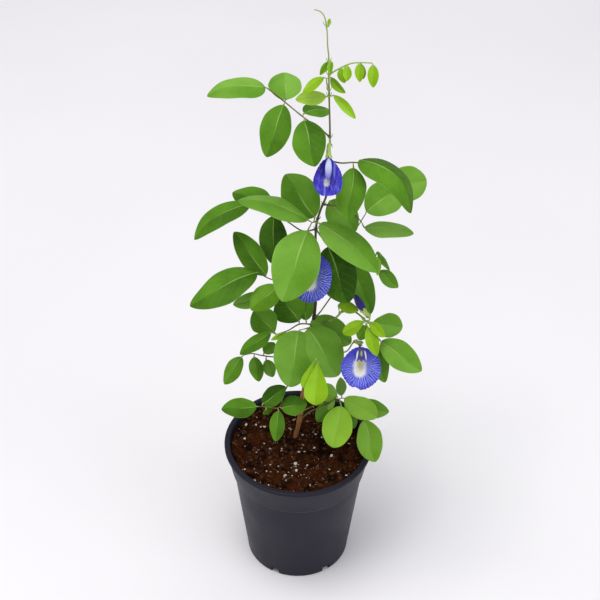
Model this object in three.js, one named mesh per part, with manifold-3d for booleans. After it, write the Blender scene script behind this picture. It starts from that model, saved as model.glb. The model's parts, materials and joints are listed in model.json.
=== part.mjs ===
// A climbing butterfly pea in a round nursery pot, in millimetres, +Z up.
// The origin is the centre of the pot's underside. -Y is the side that faces the viewer.
import * as THREE from "three";
import { mergeVertices } from "three/addons/utils/BufferGeometryUtils.js";
import Module from "manifold-3d";

const wasm = await Module();
wasm.setup();

// Pot
const POT_HEIGHT = 103.5;
const RIM_RADIUS = 52.5;
const LIP_WIDTH = 3.9;
const LIP_HEIGHT = 3;
const LIP_OVERHANG = 1.2;
const LIP_ROUNDING = 0.8;
const BAND_HEIGHT = 24.4;
const BAND_FOOT_RADIUS = 47.4;
const BAND_STEP = 1.3;
const BASE_RADIUS = 37;
const BASE_ROUNDING = 1.2;
const POT_WALL = 2;
const POT_FLOOR = 2.4;
const POT_SECTORS = 36;
const DRAIN_COUNT = 6;
const DRAIN_WIDTH = 6;
const DRAIN_HEIGHT = 4.5;
const DRAIN_DEPTH = 7;
const DRAIN_FIRST_ANGLE = THREE.MathUtils.degToRad(-116);

// Soil
const SOIL_BELOW_RIM = 5;
const SOIL_SECTORS = 32;
const SOIL_RINGS = 5;
const SOIL_LUMP = 0.9;
const SOIL_BROAD_WAVE = 53;
const SOIL_FINE_WAVE = 23;
const SOIL_FINE_SHARE = 0.4;
const SOIL_CROWN = 1.2;
const SOIL_CROWN_EDGE_SHARE = 0.33;
const SOIL_WALL_GAP = 0.36;

// Clear gap between pieces that touch, and the distance under which two corners are one
const SEAT_GAP = 0.3;
const SAME_PLACE = 1e-4;

// Stem
const STEM_DEPTH_IN_SOIL = 26;
const STEM_FOOT_RADIUS = 1.7;
const STEM_MIDDLE_RADIUS = 1;
const STEM_TIP_RADIUS = 0.4;
const STEM_SIDES = 6;
const STEM_STEPS = 44;
const STEM_SEARCH_STEPS = 400;
const SHOOT_RADIUS = 0.75;
const SHOOT_SIDES = 6;
const SHOOT_STEPS = 14;

// Leaves
const BLADE_THICKNESS = 0.8;
const BLADE_COLUMNS = 2;
const BLADE_ROWS = 6;
const SMALL_BLADE_ROWS = 5;
const SMALL_BLADE_WIDTH = 19;
const BLADE_BOW = 0.06;
const BLADE_DROOP = -8;
const BLADE_WIDEST = 0.46;
const BLADE_FULLNESS = 0.64;
const BLADE_END_WIDTH = 1.1;
const RACHIS_RADIUS = 0.6;
const RACHIS_SIDES = 4;
const STALK_RADIUS = 0.38;
const STALK_SIDES = 3;
const STALK_INTO_BLADE = 1.5;

// Flowers
const PETAL_THICKNESS = 0.7;
const BANNER_COLUMNS = 6;
const BANNER_ROWS = 5;
const BANNER_NOTCH = 0.1;
const BANNER_CURL = 1.4;
const SMALL_PETAL_COLUMNS = 2;
const SMALL_PETAL_ROWS = 3;
const WING_LENGTH_SHARE = 0.3;
const WING_FOOT_SPREAD_SHARE = 0.45;
const WING_FOOT_DROP = 0.6;
const WING_LIFT = 2.6;
const WING_TURN = 35;
const WING_SHAPE = { wide: 3, bow: 0.2, fold: 0 };
const KEEL_LENGTH_SHARE = 0.3;
const KEEL_LIFT = 4.8;
const KEEL_SHAPE = { wide: 4.4, bow: 0.2, fold: -30 };
const CLAW_RADIUS = 0.9;
const CLAW_SIDES = 6;
const CLAW_INTO_BANNER = 2;
const CLAW_INTO_CALYX_SHARE = 0.3;
const BORE_PAST_FOOT_SHARE = 0.1;
const FLOWER_STALK_RADIUS = 0.6;
const FLOWER_STALK_SIDES = 6;
const CALYX_MOUTH_RADIUS = 1.75;
const CALYX_FLARE = 0.35;
const CALYX_SIDES = 8;
const CALYX_STEPS = 4;
const BUD_RADIUS = 2.7;
const BUD_STEPS = 7;
const BUD_BLUNTNESS = 0.7;
const BUD_SMALLEST_SHARE = 0.15;
const BUD_FIRST_SHARE = 0.18;
const BUD_LAST_SHARE = 0.98;
const BUD_INTO_CALYX_SHARE = 0.2;
const BUD_CALYX_RADIUS = 1.9;

// The plant's places were read from one view: an eye in front of the pot that looks down on it.
// A reading is a place in that view, across and down, with a depth in millimetres.
const VIEW_PITCH = THREE.MathUtils.degToRad(40.1);
const VIEW_ROLL = THREE.MathUtils.degToRad(0.45);
const EYE = new THREE.Vector3(0.4, -787, 897);
const VIEW_SCALE = 1567;
const VIEW_CENTRE = 300;
const FORWARD = new THREE.Vector3(0, Math.cos(VIEW_PITCH), -Math.sin(VIEW_PITCH));
const LEVEL_RIGHT = new THREE.Vector3(1, 0, 0);
const LEVEL_UP = new THREE.Vector3().crossVectors(LEVEL_RIGHT, FORWARD);
const VIEW_RIGHT = LEVEL_RIGHT.clone().applyAxisAngle(FORWARD, -VIEW_ROLL);
const VIEW_UP = LEVEL_UP.clone().applyAxisAngle(FORWARD, -VIEW_ROLL);
const TO_VIEWER = FORWARD.clone().negate();

/** The line of sight through a place in the view, with a length of one along FORWARD. */
function sight(across, down) {
  return FORWARD.clone()
    .addScaledVector(VIEW_RIGHT, (across - VIEW_CENTRE) / VIEW_SCALE)
    .addScaledVector(VIEW_UP, (VIEW_CENTRE - down) / VIEW_SCALE);
}

/** The point seen at a place in the view, a given distance behind the pot's axis. */
function seenBehindAxis([across, down, behind]) {
  const ray = sight(across, down);
  return EYE.clone().addScaledVector(ray, (behind - EYE.y) / ray.y);
}

/** The point seen at a place in the view, nearer to the eye than a root point by a given depth. */
function seenNear(root, [across, down, near]) {
  const distance = root.clone().sub(EYE).dot(FORWARD) - near;
  return EYE.clone().addScaledVector(sight(across, down), distance);
}

/** A closed mesh with shared corners as a solid. */
function solid(geometry) {
  const bare = geometry.clone();
  bare.deleteAttribute("normal");
  bare.deleteAttribute("uv");
  const merged = mergeVertices(bare, SAME_PLACE);
  return new wasm.Manifold(
    new wasm.Mesh({
      numProp: 3,
      vertProperties: new Float32Array(merged.attributes.position.array),
      triVerts: new Uint32Array(merged.index.array),
    }),
  );
}

/** A solid as a mesh geometry. */
function skin(body) {
  const mesh = body.getMesh();
  const geometry = new THREE.BufferGeometry();
  geometry.setAttribute("position", new THREE.BufferAttribute(mesh.vertProperties, 3));
  geometry.setIndex(new THREE.BufferAttribute(mesh.triVerts, 1));
  return geometry;
}

/** Several geometries fused into one solid. */
function fuse(geometries) {
  return geometries.map(solid).reduce((whole, part) => whole.add(part));
}

/** A round rod along a smooth curve; its radius is a function of the fraction of the way. */
function rod(points, radiusAt, sides, steps) {
  const curve = new THREE.CatmullRomCurve3(points, false, "centripetal");
  const geometry = new THREE.CylinderGeometry(1, 1, 1, sides, steps);
  const position = geometry.attributes.position;
  const frames = curve.computeFrenetFrames(steps, false);
  const corner = new THREE.Vector3();
  for (let i = 0; i < position.count; i += 1) {
    corner.fromBufferAttribute(position, i);
    const step = Math.round((corner.y + 0.5) * steps);
    const place = curve.getPointAt(step / steps);
    const radius = radiusAt(step / steps);
    place.addScaledVector(frames.normals[step], corner.z * radius);
    place.addScaledVector(frames.binormals[step], corner.x * radius);
    position.setXYZ(i, place.x, place.y, place.z);
  }
  return geometry;
}

/** A closed sheet of even thickness about a curved middle surface, with faces alike on both sides. */
function sheet(columns, rows, placeAt, thickness) {
  const middle = new THREE.PlaneGeometry(2, 1, columns, rows);
  const position = middle.attributes.position;
  for (let i = 0; i < position.count; i += 1) {
    const place = placeAt(position.getX(i), position.getY(i) + 0.5);
    position.setXYZ(i, place.x, place.y, place.z);
  }
  middle.computeVertexNormals();
  const normal = middle.attributes.normal;
  const count = position.count;
  const corners = new Float32Array(count * 6);
  for (let i = 0; i < count; i += 1) {
    for (const [side, sign] of [[0, 0.5], [count, -0.5]]) {
      corners[(i + side) * 3] = position.getX(i) + normal.getX(i) * thickness * sign;
      corners[(i + side) * 3 + 1] = position.getY(i) + normal.getY(i) * thickness * sign;
      corners[(i + side) * 3 + 2] = position.getZ(i) + normal.getZ(i) * thickness * sign;
    }
  }
  const front = Array.from(middle.index.array);
  const faces = [...front];
  for (let i = 0; i < front.length; i += 3) {
    faces.push(front[i] + count, front[i + 2] + count, front[i + 1] + count);
  }
  const wide = columns + 1;
  const border = [];
  for (let i = 0; i < columns; i += 1) border.push(i);
  for (let i = 0; i < rows; i += 1) border.push(i * wide + columns);
  for (let i = columns; i > 0; i -= 1) border.push(rows * wide + i);
  for (let i = rows; i > 0; i -= 1) border.push(i * wide);
  border.forEach((from, i) => {
    const to = border[(i + 1) % border.length];
    faces.push(from, to, from + count, to, to + count, from + count);
  });
  const geometry = new THREE.BufferGeometry();
  geometry.setAttribute("position", new THREE.BufferAttribute(corners, 3));
  geometry.setIndex(faces);
  return geometry;
}

/** Rows crowded towards both ends, so that the ends are round. */
function crowd(fraction) {
  return (1 - Math.cos(Math.PI * fraction)) / 2;
}

/** Half-width of an outline as a share of its greatest half-width, from foot to tip. */
function outlineWidth(along, widest, fullness) {
  const stretched = along ** (Math.log(0.5) / Math.log(widest));
  return Math.max(0, Math.sin(Math.PI * stretched)) ** fullness;
}

/** The directions of a blade: along it, across it and out of its upper face. */
function bladeFrame(foot, tip, turn) {
  const along = tip.clone().sub(foot).normalize();
  const out = TO_VIEWER.clone().addScaledVector(along, -TO_VIEWER.dot(along)).normalize();
  out.applyAxisAngle(along, THREE.MathUtils.degToRad(turn));
  const across = new THREE.Vector3().crossVectors(along, out);
  return { along, across, out };
}

/** The middle surface of a leaflet: an ovate outline, bowed along and folded on its midrib. */
function leafletSurface(
  foot,
  tip,
  { wide, turn = 0, bow = BLADE_BOW, fold = BLADE_DROOP, widest = BLADE_WIDEST, fullness = BLADE_FULLNESS },
) {
  const { across, out } = bladeFrame(foot, tip, turn);
  const length = foot.distanceTo(tip);
  const rise = THREE.MathUtils.degToRad(fold);
  return (u, v) => {
    const way = crowd(v);
    const reach = Math.max(BLADE_END_WIDTH, wide * outlineWidth(way, widest, fullness)) / 2;
    const arch = bow * length * 4 * way * (1 - way);
    return foot.clone().lerp(tip, way)
      .addScaledVector(across, u * reach * Math.cos(rise))
      .addScaledVector(out, arch + Math.abs(u) * reach * Math.sin(rise));
  };
}

/** The point of a chain of straight steps that lies nearest to a given point. */
function nearestOn(joints, point) {
  const places = joints.slice(1).map((joint, i) =>
    new THREE.Line3(joints[i], joint).closestPointToPoint(point, true, new THREE.Vector3()));
  return places.reduce((best, place) =>
    place.distanceTo(point) < best.distanceTo(point) ? place : best);
}

// Stem routes, as readings from the foot up: across, down, and behind the pot's axis.
const MAIN_STEM_READINGS = [
  [295, 439, 8], [298.5, 424, 8], [300.5, 412, 8], [303, 395, 8], [306, 375, 8], [309, 352, 8],
  [312, 330, 8], [315, 308, 9], [316.5, 290, 11], [316, 268, 12], [315.5, 245, 12],
  [316.5, 224, 11], [321, 209, 9], [326.5, 195, 8], [329, 170, 7], [330, 136, 7], [329.5, 112, 8],
  [329, 92, 8], [328.8, 70, 8], [328.7, 56, 8], [327.6, 45, 8], [327.2, 33, 9], [325.6, 21, 10],
  [323.6, 15, 10], [319.3, 11, 9], [314.4, 9.6, 8],
];
const mainStemPoints = MAIN_STEM_READINGS.map(seenBehindAxis);
const stemFoot = mainStemPoints[0];
const buriedEnd = stemFoot.clone().setZ(stemFoot.z - STEM_DEPTH_IN_SOIL);
const mainStemCurve = new THREE.CatmullRomCurve3(mainStemPoints, false, "centripetal");

/** The point of the main stem at a height above the ground. */
function stemAtHeight(height) {
  const places = mainStemCurve.getPoints(STEM_SEARCH_STEPS);
  return places.reduce((best, place) =>
    Math.abs(place.z - height) < Math.abs(best.z - height) ? place : best).clone();
}

/** Radius of the main stem at a fraction of the way from its buried end to its tip. */
function mainStemRadius(fraction) {
  if (fraction < 0.5) {
    return THREE.MathUtils.lerp(STEM_FOOT_RADIUS, STEM_MIDDLE_RADIUS, fraction * 2);
  }
  return THREE.MathUtils.lerp(STEM_MIDDLE_RADIUS, STEM_TIP_RADIUS, fraction * 2 - 1);
}

/** The main stem, grown on all sides by a clearance. */
function mainStem(clearance) {
  const end = buriedEnd.clone().setZ(buriedEnd.z - clearance);
  const points = [end, ...mainStemPoints];
  return rod(points, (t) => mainStemRadius(t) + clearance, STEM_SIDES, STEM_STEPS);
}

// A side shoot on the right carries the young leaf, the bud and a green leaf.
const SHOOT_RISE = 206;
const SHOOT_READINGS = [
  [325, 322, 5], [336, 317.5, 11], [342.5, 311.5, 15], [351, 310, 19], [359.5, 315, 23],
  [366, 321, 26], [369, 322.5, 27],
];
const shootRoot = stemAtHeight(SHOOT_RISE);
const shootPoints = [shootRoot, ...SHOOT_READINGS.map((reading) => seenNear(shootRoot, reading))];
const shootTip = shootPoints[shootPoints.length - 1];
const shootCurve = new THREE.CatmullRomCurve3(shootPoints, false, "centripetal");

/** The side shoot, grown on all sides by a clearance. */
function sideShoot(clearance) {
  const outward = shootTip.clone().sub(shootPoints[shootPoints.length - 2]).normalize();
  const points = [...shootPoints.slice(0, -1), shootTip.clone().addScaledVector(outward, clearance)];
  return rod(points, () => SHOOT_RADIUS + clearance, SHOOT_SIDES, SHOOT_STEPS);
}

const roomForMainStem = solid(mainStem(SEAT_GAP));
const roomForShoot = solid(sideShoot(SEAT_GAP));

/** A piece cut back so that it stops just short of the stems. */
function clearOfStems(body) {
  return body.subtract(roomForMainStem).subtract(roomForShoot);
}

// Leaves from the tip down. rise is the height of the leaf's root on the main stem, in millimetres.
// Readings are across, down, and nearer to the eye than the root; a width is in millimetres, and a
// turn in degrees about the leaflet's length.
const LEAVES = [
  {
    name: "leaf_young_bud", rise: 434,
    rachis: [[328.6, 26.5, 1.5]],
    leaflets: [
      { foot: [328.9, 25.5, 1.8], tip: [329.6, 18.5, 1.8], wide: 2.4, fold: 20 },
    ],
  },
  {
    name: "leaf_tip", rise: 411,
    rachis: [[330, 61, 3]],
    leaflets: [
      { foot: [329, 62, 3], tip: [320, 75, 4], wide: 5, fold: 35 },
      { foot: [331.5, 62, 3], tip: [330.5, 75.5, 7], wide: 4.5, fold: 35, turn: 20 },
    ],
  },
  {
    name: "leaf_young_arch", rise: 402,
    rachis: [[338, 69.2, 0], [346, 65.3, 0], [352, 63.2, 0], [360, 62.6, 0], [372, 63, 0]],
    leaflets: [
      { foot: [340.5, 68.5, 1], tip: [344.5, 83, 1], wide: 6 },
      { foot: [347.5, 66, 2], tip: [346.5, 81, 7], wide: 6, turn: -20 },
      { foot: [359, 64, 1], tip: [359.8, 82, 3], wide: 5.6 },
      { foot: [361, 64, -1], tip: [363, 79, -6], wide: 5.6, turn: 30 },
      { foot: [373, 65, 0], tip: [373.3, 87.5, 2], wide: 6.8 },
    ],
  },
  {
    name: "leaf_young_upper", rise: 391,
    rachis: [[327, 84, 4.5], [326.5, 78.5, 9]],
    leaflets: [
      { foot: [323.5, 77.5, 9], tip: [302.5, 93, 9], wide: 7, turn: 25 },
      { foot: [331, 77.5, 10], tip: [345.5, 93, 10], wide: 6.5, turn: 35, fold: 30 },
    ],
  },
  {
    name: "leaf_young_lower", rise: 387,
    rachis: [[330, 96.5, 3]],
    leaflets: [
      { foot: [326, 96.5, 4], tip: [295.5, 99.5, 7], wide: 9, turn: 165 },
      { foot: [334, 95.5, 3], tip: [355.5, 118.5, 3], wide: 7, turn: -30 },
    ],
  },
  {
    name: "leaf_top_left", rise: 358,
    rachis: [[322, 130, 3], [304.5, 118, 6], [285.4, 102.5, 8], [267, 88, 8]],
    leaflets: [
      { foot: [265, 87.5, 8], tip: [207, 96, 11], wide: 21.5, turn: 44, bow: 0.12, widest: 0.38 },
      { foot: [286, 99.5, 7], tip: [284, 72.5, -16], wide: 20.5, widest: 0.5, fullness: 0.52 },
      { foot: [283.5, 105, 9], tip: [266.5, 157, 11], wide: 19 },
      { foot: [304, 120.5, 8], tip: [315, 166.5, 12], wide: 21 },
      { foot: [304.5, 113, 4], tip: [328.5, 109, -14], wide: 14, turn: -40 },
    ],
  },
  {
    name: "leaf_right_upper", rise: 341,
    rachis: [[341, 163, -1], [356, 162.5, -2], [372, 168, -12], [383.5, 183, -19]],
    leaflets: [
      { foot: [360.5, 160, 0], tip: [411, 213, 4], wide: 26, turn: -44, bow: 0.26, fold: -16, widest: 0.4 },
      { foot: [386, 187.5, -20], tip: [426.5, 180, -24], wide: 22.5, widest: 0.56, fullness: 0.5 },
      { foot: [353.5, 168, -1], tip: [348, 220, 2], wide: 18.5 },
    ],
  },
  {
    name: "leaf_right_back", rise: 306,
    rachis: [[335, 206, -5], [354, 214, -8], [361.5, 222, -8]],
    leaflets: [
      { foot: [364.5, 227.5, -8], tip: [413.7, 233.5, -6], wide: 20, turn: -55 },
      { foot: [329.5, 201, -8], tip: [356, 231, -11], wide: 20 },
    ],
  },
  {
    name: "leaf_right_hanging", rise: 284,
    rachis: [[326, 241, -5], [342, 240, -9], [354, 231, -12], [365.5, 214, -16]],
    leaflets: [
      { foot: [366.5, 211.5, -17], tip: [405, 183, -42], wide: 23.5 },
      { foot: [328, 247, -6], tip: [348, 303, -12], wide: 26, fullness: 0.55 },
      { foot: [344, 246, -14], tip: [371, 314, -38], wide: 18.5 },
    ],
  },
  {
    name: "leaf_right_small", rise: 212,
    rachis: [[318.5, 314, 4], [331, 297, 9], [345, 279, 12], [360, 265, 17], [374, 261, 21]],
    leaflets: [
      { foot: [377.5, 251.5, 21.5], tip: [389.5, 270.5, 21.5], wide: 8, turn: 65 },
      { foot: [377.5, 257, 23], tip: [377.5, 275.5, 25], wide: 5.5, fold: 30 },
      { foot: [379.5, 271, 21.5], tip: [398, 287.5, 23.5], wide: 9.5 },
    ],
  },
  {
    name: "leaf_centre", rise: 293,
    rachis: [[315.5, 221.5, 5], [312, 222.5, 9]],
    leaflets: [
      { foot: [308, 220, 10], tip: [238, 200.5, 8], wide: 25, turn: 55, bow: 0.1 },
      { foot: [314.5, 217, 8], tip: [285, 174.5, -4], wide: 25 },
      { foot: [307.5, 231, 11], tip: [282.5, 301.5, 14], wide: 31.3, widest: 0.45, fullness: 0.62 },
      { foot: [320, 223.5, 9], tip: [377.5, 272, 12], wide: 24.5, turn: -35, bow: 0.09 },
    ],
  },
  {
    name: "leaf_far_left", rise: 284,
    rachis: [[303, 231, -4], [288, 222, -7], [270, 212, -10], [254, 204, -12]],
    leaflets: [
      { foot: [250, 203.5, -12], tip: [194.5, 239.5, -8], wide: 17, turn: 30, bow: 0.19 },
      { foot: [271, 203, -12], tip: [232.5, 192.5, -24], wide: 17, turn: 25 },
      { foot: [274, 216, -12], tip: [273, 264, -34], wide: 19 },
    ],
  },
  {
    name: "leaf_left", rise: 232,
    rachis: [[300, 291, 4], [284, 284, 8], [268, 278, 12], [260, 274, 13]],
    leaflets: [
      { foot: [257, 272.5, 14], tip: [190, 306, 15], wide: 26, turn: 34 },
      { foot: [266, 275, 14], tip: [234, 232, 8], wide: 16.5 },
      { foot: [277.5, 286, 11], tip: [251, 310, 13], wide: 16.5 },
      { foot: [265, 297, 2], tip: [233, 304.5, -6], wide: 10.5 },
    ],
  },
  {
    name: "leaf_left_low", rise: 206,
    rachis: [[300, 324, -1], [288, 330.5, 3], [276, 334.5, 6]],
    leaflets: [
      { foot: [270.5, 332, 6], tip: [240, 354.5, 6], wide: 10 },
      { foot: [274.5, 332, 6], tip: [253.5, 311, 1], wide: 19, widest: 0.52 },
      { foot: [299, 321, 2], tip: [280, 296, -10], wide: 23, widest: 0.5 },
      { foot: [306, 320, 3], tip: [304, 291, -14], wide: 14 },
      { foot: [286, 333, 5], tip: [271, 340, 6], wide: 5, fold: 40 },
    ],
  },
  {
    name: "leaf_front", rise: 199,
    rachis: [[310, 328, 7], [304, 329, 15]],
    leaflets: [
      { foot: [298.5, 331, 16], tip: [290, 387, 6], wide: 28.5, widest: 0.42, fullness: 0.54 },
      { foot: [308, 329, 16], tip: [338, 376, 6], wide: 29, fullness: 0.58 },
      { foot: [312.5, 320, 8], tip: [351, 343, 5], wide: 19.5, fullness: 0.55 },
    ],
  },
  {
    name: "leaf_young_front", rise: 150,
    rachis: [[306, 388, 18], [309, 386, 36], [314, 374, 48], [317, 361, 50]],
    leaflets: [
      { foot: [316, 358.5, 51], tip: [303, 388, 54], wide: 7.6, widest: 0.74 },
      { foot: [317.5, 362, 51], tip: [315.5, 405, 57], wide: 16.1, widest: 0.7, fullness: 0.55 },
    ],
  },
  {
    name: "leaf_left_small", rise: 185,
    rachis: [[292, 356, -6], [275, 357, -8], [262, 355.5, -6], [252, 353.5, -4], [244, 355, -4]],
    leaflets: [
      { foot: [241.5, 357, -4], tip: [224.5, 384.3, -4], wide: 11.5 },
      { foot: [254, 357, -4], tip: [259, 381.5, -4], wide: 10 },
      { foot: [264, 353, -6], tip: [275, 343, -12], wide: 9 },
      { foot: [266, 360, -6], tip: [273, 377, -10], wide: 9 },
    ],
  },
  {
    name: "leaf_low_left", rise: 165,
    rachis: [[298, 372, 2], [291, 380, 4], [284.5, 392, 6], [279, 407.5, 8], [268, 407, 9],
      [259, 406.5, 9]],
    leaflets: [
      { foot: [256.5, 406.5, 9], tip: [221.5, 409.3, 12], wide: 14 },
      { foot: [262.5, 404, 9], tip: [285.5, 386.5, 12], wide: 13 },
      { foot: [278.6, 411, 9], tip: [275.7, 441.5, 10], wide: 10.5 },
      { foot: [281.5, 408, 8], tip: [307, 403, 4], wide: 14 },
      { foot: [266, 409, 8], tip: [270, 413, -6], wide: 8 },
    ],
  },
  {
    name: "leaf_low_right", rise: 116,
    rachis: [[308, 413, 1], [317, 408.5, 4], [333, 401, 9], [342, 398, 11]],
    leaflets: [
      { foot: [341, 406.5, 13], tip: [333.5, 447.5, 15], wide: 21.5, widest: 0.5, fullness: 0.5 },
      { foot: [344.5, 398.5, 12], tip: [377, 417, 12], wide: 16, widest: 0.52, fullness: 0.52 },
      { foot: [341.5, 395.5, 10], tip: [340.5, 377.5, 2], wide: 8, turn: 160 },
      { foot: [337, 396.5, 8], tip: [317, 388, 0], wide: 13 },
      { foot: [334, 401.5, 11], tip: [328, 410, 13], wide: 7, turn: 65 },
    ],
  },
  {
    name: "leaf_low_right_back", rise: 124,
    rachis: [[318, 404, -3], [335, 401, -3], [350, 405, -1], [363, 416.5, 3]],
    leaflets: [
      { foot: [364.5, 420, 6], tip: [375, 462, 10], wide: 18.5, widest: 0.5, fullness: 0.6 },
      { foot: [354, 405.5, -2], tip: [389, 412, -6], wide: 14 },
      { foot: [346, 405, -1], tip: [354, 428.5, -2], wide: 10 },
      { foot: [331, 403.5, -3], tip: [317, 421.5, -3], wide: 12 },
    ],
  },
  {
    name: "leaf_back_middle", rise: 240,
    rachis: [[312, 276, -12], [306, 264, -28], [302, 256, -42]],
    leaflets: [
      { foot: [301, 254, -44], tip: [296, 240, -70], wide: 18 },
      { foot: [304, 262, -30], tip: [285, 256, -50], wide: 16 },
      { foot: [308, 266, -26], tip: [326, 261, -48], wide: 16 },
    ],
  },
  {
    name: "leaf_back_low", rise: 140,
    rachis: [[305, 382, -12], [306, 366, -30], [306, 357, -42]],
    leaflets: [
      { foot: [306, 355, -44], tip: [306, 340, -70], wide: 18 },
      { foot: [304, 364, -32], tip: [286, 359, -52], wide: 16 },
      { foot: [308, 364, -32], tip: [326, 359, -50], wide: 16 },
    ],
  },
];

// Leaves that the side shoot carries. way is the root's place as a share of the shoot's length.
const SHOOT_LEAVES = [
  {
    name: "leaf_shoot_low_young", way: 0.52,
    rachis: [[338.5, 313, 1]],
    leaflets: [
      { foot: [338.5, 304.5, 3], tip: [358.5, 310.5, 10], wide: 8 },
    ],
  },
  {
    name: "leaf_shoot_young", way: 0.88,
    rachis: [[364.5, 322, 3], [366.5, 324, 4]],
    leaflets: [
      { foot: [364, 321.5, 3], tip: [343, 333.5, 5], wide: 8.6, widest: 0.58, fullness: 0.55 },
      { foot: [368, 327.5, 4], tip: [377, 356, 6], wide: 9 },
      { foot: [369.5, 322.5, 6], tip: [385, 337, 8], wide: 7 },
      { foot: [366, 325.5, 1], tip: [359, 340, -3], wide: 9 },
    ],
  },
  {
    name: "leaf_shoot_green", way: 1,
    rachis: [[371.5, 328, -4], [375, 334, -6], [380, 340, -7]],
    leaflets: [
      { foot: [372.5, 323.5, -5], tip: [402.5, 327, -10], wide: 16.5, widest: 0.56, fullness: 0.52 },
      { foot: [381, 341.5, -6], tip: [421.5, 371, -4], wide: 18.5 },
      { foot: [375, 344, -12], tip: [385, 382.5, -24], wide: 12.5 },
    ],
  },
];

/** A compound leaf: a rachis from its root, with leaflets on short stalks, fused into one body. */
function compoundLeaf(root, { rachis, leaflets }) {
  const route = [root, ...rachis.map((reading) => seenNear(root, reading))];
  const steps = route.length;
  const joints = new THREE.CatmullRomCurve3(route, false, "centripetal").getSpacedPoints(steps);
  const parts = [rod(route, () => RACHIS_RADIUS, RACHIS_SIDES, steps)];
  for (const leaflet of leaflets) {
    const foot = seenNear(root, leaflet.foot);
    const tip = seenNear(root, leaflet.tip);
    const surface = leafletSurface(foot, tip, leaflet);
    const rows = leaflet.wide > SMALL_BLADE_WIDTH ? BLADE_ROWS : SMALL_BLADE_ROWS;
    parts.push(sheet(BLADE_COLUMNS, rows, surface, BLADE_THICKNESS));
    const share = STALK_INTO_BLADE / foot.distanceTo(tip);
    const inBlade = surface(0, Math.acos(1 - 2 * share) / Math.PI);
    parts.push(rod([nearestOn(joints, foot), inBlade], () => STALK_RADIUS, STALK_SIDES, 1));
  }
  return clearOfStems(fuse(parts));
}

// Flowers, with readings from the root on the main stem. The banner hangs from the calyx.
const FLOWERS = [
  {
    name: "flower_top", rise: 357.5, wingSpread: 2,
    stalk: [[330, 139.5, 3.5]],
    calyx: [[329.5, 143, 4.5], [328.6, 150, 5.5], [328.8, 156, 6]],
    banner: {
      foot: [328.8, 158, 6.5], tip: [327.3, 196, 4], wide: 20.8, fold: 40, widest: 0.62, fullness: 0.38,
      notch: 0,
    },
  },
  {
    name: "flower_middle", rise: 262, wingSpread: 3.6,
    stalk: [[314.5, 253, 3], [311.5, 248.5, 7]],
    calyx: [[310.3, 247.5, 9], [310.6, 251, 14]],
    banner: {
      foot: [311, 253.5, 16.5], tip: [311, 302.5, 15.5], wide: 27, fold: 8, widest: 0.45, fullness: 0.42,
      notch: 0,
    },
  },
  {
    name: "flower_right", rise: 184, wingSpread: 3.6,
    stalk: [[328, 353, 0], [345, 352, 4], [352, 344, 16]],
    calyx: [[354, 341, 23], [359.8, 343.2, 29.6]],
    banner: {
      foot: [361.3, 347, 32.5], tip: [360.8, 390, 31], wide: 26.6, fold: 6, widest: 0.49, fullness: 0.5,
    },
  },
];

const BUD = {
  way: 0.95,
  stalk: [[369.3, 320, -1]],
  calyx: [[369.8, 317.5, -1], [366, 313.5, -1], [363.5, 310.5, -1]],
  petals: [[362.8, 309, -1], [359, 302, -0.5], [355, 294.5, 0]],
};

/** The middle surface of a banner: a broad cupped petal with a notch in its free edge. */
function bannerSurface(foot, tip, { wide, fold, widest, fullness, notch = BANNER_NOTCH }) {
  const { across, out } = bladeFrame(foot, tip, 0);
  const cup = THREE.MathUtils.degToRad(fold);
  return (u, v) => {
    const way = crowd(v);
    const reach = Math.max(BLADE_END_WIDTH, wide * outlineWidth(way, widest, fullness)) / 2;
    const notched = way * (1 - notch * (1 - Math.abs(u)) ** 2 * way ** 6);
    const angle = u * cup * BANNER_CURL;
    const spread = Math.sin(angle) / (cup * BANNER_CURL);
    const rise = (1 - Math.cos(angle)) / (cup * BANNER_CURL);
    return foot.clone().lerp(tip, notched)
      .addScaledVector(across, spread * reach)
      .addScaledVector(out, rise * reach);
  };
}

/** The petals of one flower: banner, two wings and keel, fused round the claw. */
function corolla(mouth, foot, tip, banner, wingSpread) {
  const { along, across, out } = bladeFrame(foot, tip, 0);
  const length = foot.distanceTo(tip);
  const parts = [
    sheet(BANNER_COLUMNS, BANNER_ROWS, bannerSurface(foot, tip, banner), PETAL_THICKNESS),
    rod([mouth, foot.clone().addScaledVector(along, CLAW_INTO_BANNER)], () => CLAW_RADIUS, CLAW_SIDES, 1),
  ];
  for (const side of [-1, 1]) {
    const wingFoot = foot.clone()
      .addScaledVector(across, side * wingSpread * WING_FOOT_SPREAD_SHARE)
      .addScaledVector(along, WING_FOOT_DROP);
    const wingTip = foot.clone()
      .addScaledVector(along, length * WING_LENGTH_SHARE)
      .addScaledVector(across, side * wingSpread)
      .addScaledVector(out, WING_LIFT);
    const surface = leafletSurface(wingFoot, wingTip, { ...WING_SHAPE, turn: -side * WING_TURN });
    parts.push(sheet(SMALL_PETAL_COLUMNS, SMALL_PETAL_ROWS, surface, PETAL_THICKNESS));
  }
  const keelTip = foot.clone()
    .addScaledVector(along, length * KEEL_LENGTH_SHARE)
    .addScaledVector(out, KEEL_LIFT);
  const keel = leafletSurface(foot, keelTip, KEEL_SHAPE);
  parts.push(sheet(SMALL_PETAL_COLUMNS, SMALL_PETAL_ROWS, keel, PETAL_THICKNESS));
  return fuse(parts);
}

/** A flower's stalk and calyx: a thin rod that widens into a cup. */
function calyxBody(root, stalk, cup, mouthRadius) {
  const thin = [root, ...stalk, cup[0]];
  const flare = (t) => THREE.MathUtils.lerp(FLOWER_STALK_RADIUS, mouthRadius, t ** CALYX_FLARE);
  return fuse([
    rod(thin, () => FLOWER_STALK_RADIUS, FLOWER_STALK_SIDES, thin.length * 2),
    rod(cup, flare, CALYX_SIDES, CALYX_STEPS),
  ]);
}

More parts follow.
